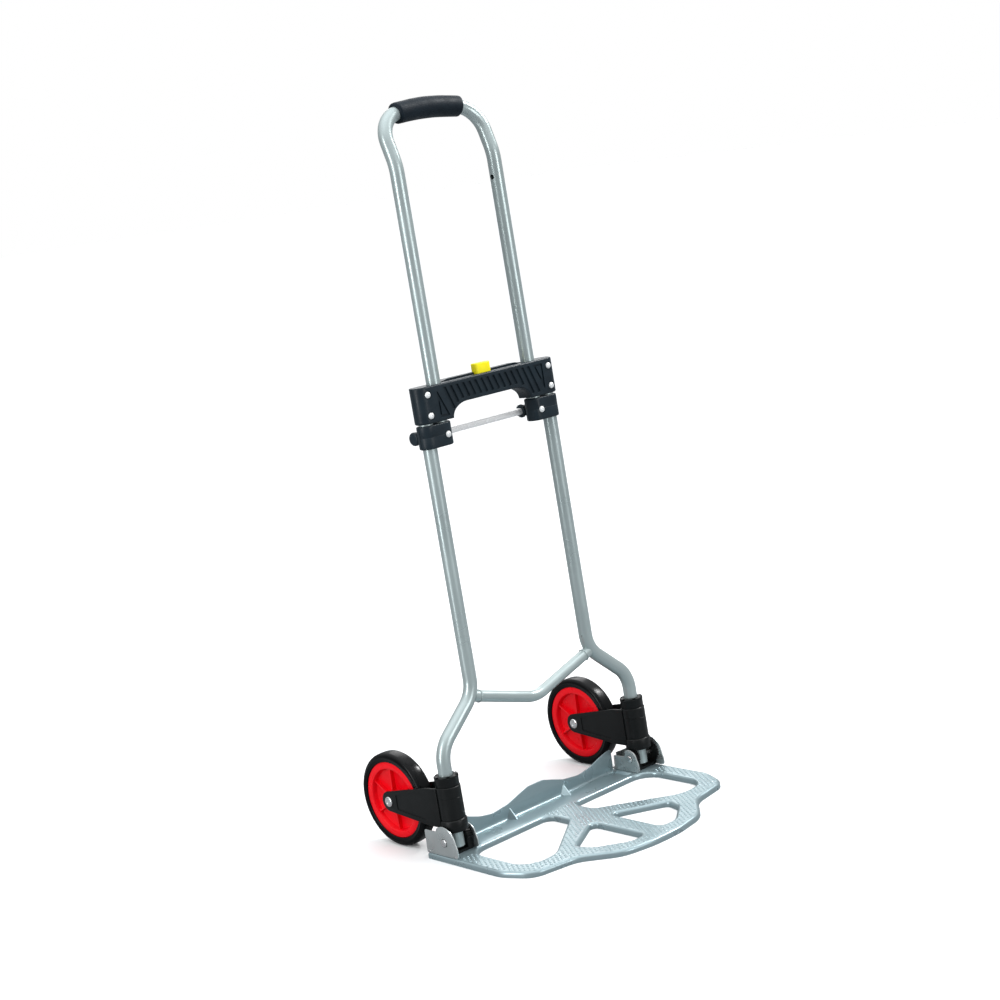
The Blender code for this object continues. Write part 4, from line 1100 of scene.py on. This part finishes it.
def wall_fillet():
    """The inner curve where the sheet turns up into the wall."""
    floor = PLATE_TOP - STRIP_SUNK
    start, behind, below = WALL_Y - FILLET_R, WALL_Y + 0.0008, floor - 0.0010
    curve = arc((start, floor + FILLET_R), FILLET_R, 0, -90, 10)
    outline = [(behind, below), (behind, floor + FILLET_R)] + curve + [(start, below)]
    return prism(outline, -WALL_HALF + 0.0006, WALL_HALF - 0.0006, across_x)


def darts():
    """Two pressed gussets across the bend, each the hull of its eight corners."""
    floor = PLATE_TOP - STRIP_SUNK
    made = []
    for x in (-DART_X, DART_X):
        bm = bmesh.new()
        for half, back, rise in ((0.0100, 0.0005, -0.0005), (0.0012, -0.0150, -0.0003),
                                 (0.0008, 0.0005, 0.0165), (0.0010, -0.0070, 0.0080)):
            for across in (-half, half):
                bm.verts.new((x + across, WALL_Y + back, floor + rise))
        bmesh.ops.convex_hull(bm, input=bm.verts)
        made.append(bm)
    return made


def tread(outer, holes):
    """Small round bosses in staggered rows over the flat of the plate."""
    pitch_x, pitch_y = BOSS_PITCH
    spots = []
    for row in range(BOSS_ROWS):
        y = NOSE_Y + 0.004 + pitch_y * row
        spots += [(pitch_x * (k + 0.5 * (row % 2)), y) for k in range(-BOSS_REACH, BOSS_REACH + 1)]
    spots = np.array(spots)
    rear_end = np.where(np.abs(spots[:, 0]) > 0.165, -0.0060, 0.0140)
    keep = encloses(outer, spots) & (spots[:, 1] < rear_end)
    for points in holes:
        keep &= ~encloses(points, spots)
    spots = spots[keep]
    spots = spots[edge_distance(spots, [outer] + holes) > ROLL_R + 0.0008]
    sides = 12
    ring = [(math.cos(2 * math.pi * k / sides), math.sin(2 * math.pi * k / sides)) for k in range(sides)]
    verts, faces = [], []
    for x, y in spots:
        first = len(verts)
        for radius, rise in BOSS_PROFILE[:-1]:
            verts += [(x + radius * c, y + radius * s, PLATE_TOP + rise) for c, s in ring]
        verts.append((x, y, PLATE_TOP + BOSS_PROFILE[-1][1]))
        faces.append([first + k for k in reversed(range(sides))])
        for level in range(2):
            low = first + level * sides
            faces += [(low + k, low + (k + 1) % sides, low + sides + (k + 1) % sides, low + sides + k)
                      for k in range(sides)]
        crest = first + 2 * sides
        faces += [(crest + k, crest + (k + 1) % sides, first + 3 * sides) for k in range(sides)]
    mesh = bpy.data.meshes.new("tread")
    mesh.from_pydata(verts, [], faces)
    bm = bmesh.new()
    bm.from_mesh(mesh)
    bpy.data.meshes.remove(mesh)
    extra("toe_plate_tread", bm, BODY_OF["toe_plate"], "plate_steel", Matrix.Identity(4), sharp=60)


# ---------------------------------------------------------------- plate hinges
def ear_outline(lobe, reach, shoulder):
    """One ear from the side, round the pin: a front lobe, a rear shoulder and a narrow foot."""
    base = PLATE_TOP + GAP - PIN.z
    front = -lobe - 0.003
    rear = rounded([((0, base), 0, 0), ((reach, base), 0.0010, 3), ((reach, shoulder), 0.0032, 6),
                    ((lobe * 0.66, shoulder), 0.0030, 5), (tuple(arc((0, 0), lobe, 56, 172, 1)[0]), 0, 0)],
                   closed=False)
    foot = rounded([((-lobe, 0), 0, 0), ((front, -0.006), 0.006, 5),
                    ((front - 0.001, base + 0.003), 0.004, 5), ((front + 0.006, base), 0.002, 3),
                    ((0, base), 0, 0)], closed=False)
    return rear[1:-1] + arc((0, 0), lobe, 56, 172, 24) + foot[1:-1]


def toothed_outline(radius, teeth, base):
    """A disc with teeth round its upper side and a flat foot, seen from the side."""
    rim = []
    for k in range(8 * teeth + 1):
        a = math.radians(-20 + 220 * k / (8 * teeth))
        swing = max(-1.0, min(1.0, -1.7 * math.cos(2 * math.pi * k / 8)))
        reach = radius - TOOTH_DEPTH * (0.5 - 0.5 * swing)
        rim.append((reach * math.cos(a), reach * math.sin(a)))
    return rim + [(-0.0105, base), (0.0125, base)]


def hinge(name, side):
    place = Matrix.Translation(PIN)
    base = PLATE_TOP + GAP - PIN.z
    outer = eased(*ordered(side, EAR_OUT, EAR_OUT - SHEET), 0.0005, 3)
    inner = eased(*ordered(side, EAR_IN, EAR_IN + SHEET), 0.0005, 3)
    low, high = ordered(side, EAR_IN + 0.001, EAR_OUT - 0.001)
    web_low, web_high = ordered(side, EAR_IN + 0.0120, EAR_OUT - 0.0005)
    steps = [(JOIN, loft(ear_outline(LOBE_INNER_R, EAR_REAR - 0.0060, 0.0030), inner, across_x)),
             (JOIN, box((low, 0.014, base), (high, EAR_REAR, base + SHEET))),
             (JOIN, box((web_low, EAR_REAR - SHEET, base), (web_high, EAR_REAR, 0.0030)))]
    for x in (EAR_IN, EAR_OUT):
        steps.append((CUT, crosswise(PIN_SEAT_R, side * x - 0.004, side * x + 0.004, 0, 0)))
    body = loft(ear_outline(LOBE_OUTER_R, EAR_REAR, 0.0155), outer, across_x)
    fine(f"{name}_hinge_bracket", shaped(body, *steps), place, sharp=32)
    for label, back in (("front", -0.0235), ("rear", 0.0375)):
        bead = blob(Vector((side * (EAR_OUT - 0.0003), back, base + 0.0025)), (0.0007, 0.0042, 0.0026))
        extra(f"{name}_ear_{label}_weld", bead, BODY_OF[f"{name}_hinge_bracket"], "bright_steel", place)
    hinge_pin(name, side, place)
    fold_cam(name, side, place, base)


def hinge_pin(name, side, place):
    """A riveted pin, with a domed head outside each ear."""
    start, end = EAR_IN - GAP, EAR_OUT + GAP

    def dome(edge, way):
        return [(PIN_HEAD_R * math.cos(t), edge + way * PIN_HEAD_TALL * (0.25 + 0.75 * math.sin(t)))
                for t in (math.radians(d) for d in (0, 20, 40, 60, 75))]

    profile = [(0, start - PIN_HEAD_TALL)] + dome(start, -1)[::-1]
    profile += [(PIN_HEAD_R, start), (HINGE_PIN_R, start + 0.0002)]
    profile += [(HINGE_PIN_R, end - 0.0002), (PIN_HEAD_R, end)]
    profile += dome(end, 1) + [(0, end + PIN_HEAD_TALL)]
    fine(f"{name}_hinge_pin", turned([(r, side * x) for r, x in profile], 40), place, sharp=50)


def fold_cam(name, side, place, base):
    """A toothed cheek inside the leg and a larger toothed disc outside it, on one foot."""
    inner_face, outer_face = EAR_IN + SHEET + GAP, EAR_OUT - SHEET - GAP
    leg_face = LEG_X - TUBE_R - 2 * GAP
    cheek = loft(toothed_outline(CAM_R, 12, base), eased(*ordered(side, inner_face, leg_face), 0.0005, 2),
                 across_x)
    disc = loft(toothed_outline(CAM_GEAR_R, 16, base),
                eased(*ordered(side, outer_face - CAM_GEAR_THICK, outer_face), 0.0004, 2), across_x)
    low, high = ordered(side, leg_face - 0.001, outer_face - 0.001)
    foot = box((low, -0.0100, base), (high, 0.0120, CAM_FOOT_HIGH))
    hole = crosswise(HINGE_PIN_R + GAP, side * (EAR_IN - OVER), side * (EAR_OUT + OVER), 0, 0, 32)
    fine(f"{name}_fold_cam", shaped(cheek, (JOIN, disc), (JOIN, foot), (CUT, hole)), place, sharp=35)


def blob(center, half):
    """A smooth bead of the given half sizes."""
    bm = bmesh.new()
    bmesh.ops.create_icosphere(bm, subdivisions=3, radius=1.0,
                               matrix=Matrix.Translation(center) @ Matrix.Diagonal((*half, 1)))
    return bm


def build():
    frame_tubes()
    handle()
    grip()
    bracket()
    tie_rod()
    for name, side in SIDES.items():
        slider(name, side)
        sleeve_parts(name, side)
        fork(name, side)
        wheel(name, side)
        hinge(name, side)
    toe_plate()


build()


# ---------------------------------------------------------------- stage, light and camera
def stage():
    """A pale floor, dimmer to every ray but the camera's so that it doesn't light the truck from below."""
    floor_mesh = bpy.data.meshes.new("floor")
    bm = bmesh.new()
    bmesh.ops.create_grid(bm, x_segments=1, y_segments=1, size=40)
    bm.to_mesh(floor_mesh)
    bm.free()
    floor = bpy.data.objects.new("floor", floor_mesh)
    floor.location.z = cad_box[0].z
    bpy.context.collection.objects.link(floor)
    pale = bpy.data.materials.new("pale_floor")
    pale.use_nodes = True
    tree = pale.node_tree
    shader = fed(tree, tree.nodes["Principled BSDF"], {
        "Base Color": (0.86, 0.86, 0.86, 1), "Roughness": 0.8, "Specular IOR Level": 0.1})
    dim = fed(tree, tree.nodes.new("ShaderNodeBsdfDiffuse"), {"Color": (0.26, 0.27, 0.28, 1)})
    camera_ray = tree.nodes.new("ShaderNodeLightPath").outputs["Is Camera Ray"]
    mix = fed(tree, tree.nodes.new("ShaderNodeMixShader"), {
        "Fac": camera_ray, 1: dim.outputs["BSDF"], 2: shader.outputs["BSDF"]})
    fed(tree, tree.nodes["Material Output"], {"Surface": mix.outputs["Shader"]})
    floor_mesh.materials.append(pale)


def softbox(name, position, target, size, watts):
    light = bpy.data.lights.new(name, "AREA")
    light.shape = "RECTANGLE"
    light.size, light.size_y = size
    light.energy = watts
    made = bpy.data.objects.new(name, light)
    made.location = position
    made.rotation_euler = (Vector(target) - Vector(position)).to_track_quat("-Z", "Y").to_euler()
    bpy.context.collection.objects.link(made)


def light():
    """Four soft boxes, and a world that is white to the camera and strongest overhead to everything else."""
    middle = (cad_box[0] + cad_box[1]) / 2
    softbox("strip", (-3.2, 0.1, 1.0), middle, (0.5, 3.0), 60)
    softbox("small", (2.3, -0.56, 2.6), middle, (0.5, 0.5), 65)
    softbox("fill", (0.6, -3.9, 1.4), middle, (1.6, 2.0), 44)
    softbox("back", (2.4, 2.6, 2.2), middle, (1.4, 2.2), 20)
    world = bpy.data.worlds.new("studio")
    world.use_nodes = True
    tree = world.node_tree

    def made(kind, inputs):
        return fed(tree, tree.nodes.new(kind), inputs)

    def computed(operation, inputs):
        node = tree.nodes.new("ShaderNodeMath")
        node.operation = operation
        return fed(tree, node, inputs).outputs["Value"]

    seen = fed(tree, tree.nodes["Background"], {"Color": (1, 1, 1, 1), "Strength": 1.0})
    direction = tree.nodes.new("ShaderNodeTexCoord").outputs["Generated"]
    up = made("ShaderNodeSeparateXYZ", {"Vector": direction}).outputs["Z"]
    steep = computed("MULTIPLY", {0: up, 1: up})
    strength = computed("MULTIPLY_ADD", {0: steep, 1: 1.9, 2: 0.33})
    lit = made("ShaderNodeBackground", {"Color": (0.97, 0.985, 1.0, 1), "Strength": strength})
    camera_ray = tree.nodes.new("ShaderNodeLightPath").outputs["Is Camera Ray"]
    mix = made("ShaderNodeMixShader", {
        "Fac": camera_ray, 1: lit.outputs["Background"], 2: seen.outputs["Background"]})
    fed(tree, tree.nodes["World Output"], {"Surface": mix.outputs["Shader"]})
    bpy.context.scene.world = world
    bpy.context.scene.view_settings.view_transform = "Standard"


def camera():
    """The view from the front left, a little above the hips, tilted so that the truck stands askew."""
    place = Vector((-1.98640, -2.17544, 1.04659))
    forward = Vector((0.65549, 0.73401, -0.17768)).normalized()
    up = Vector((0.22001, 0.03947, 0.97470))
    right = forward.cross(up).normalized()
    up = right.cross(forward)
    data = bpy.data.cameras.new("camera")
    data.lens = 70.38
    data.sensor_width = 36.0
    made = bpy.data.objects.new("camera", data)
    turn = Matrix((right, up, -forward)).transposed().to_4x4()
    made.matrix_world = Matrix.Translation(place) @ turn
    bpy.context.collection.objects.link(made)
    bpy.context.scene.camera = made


stage()
light()
camera()
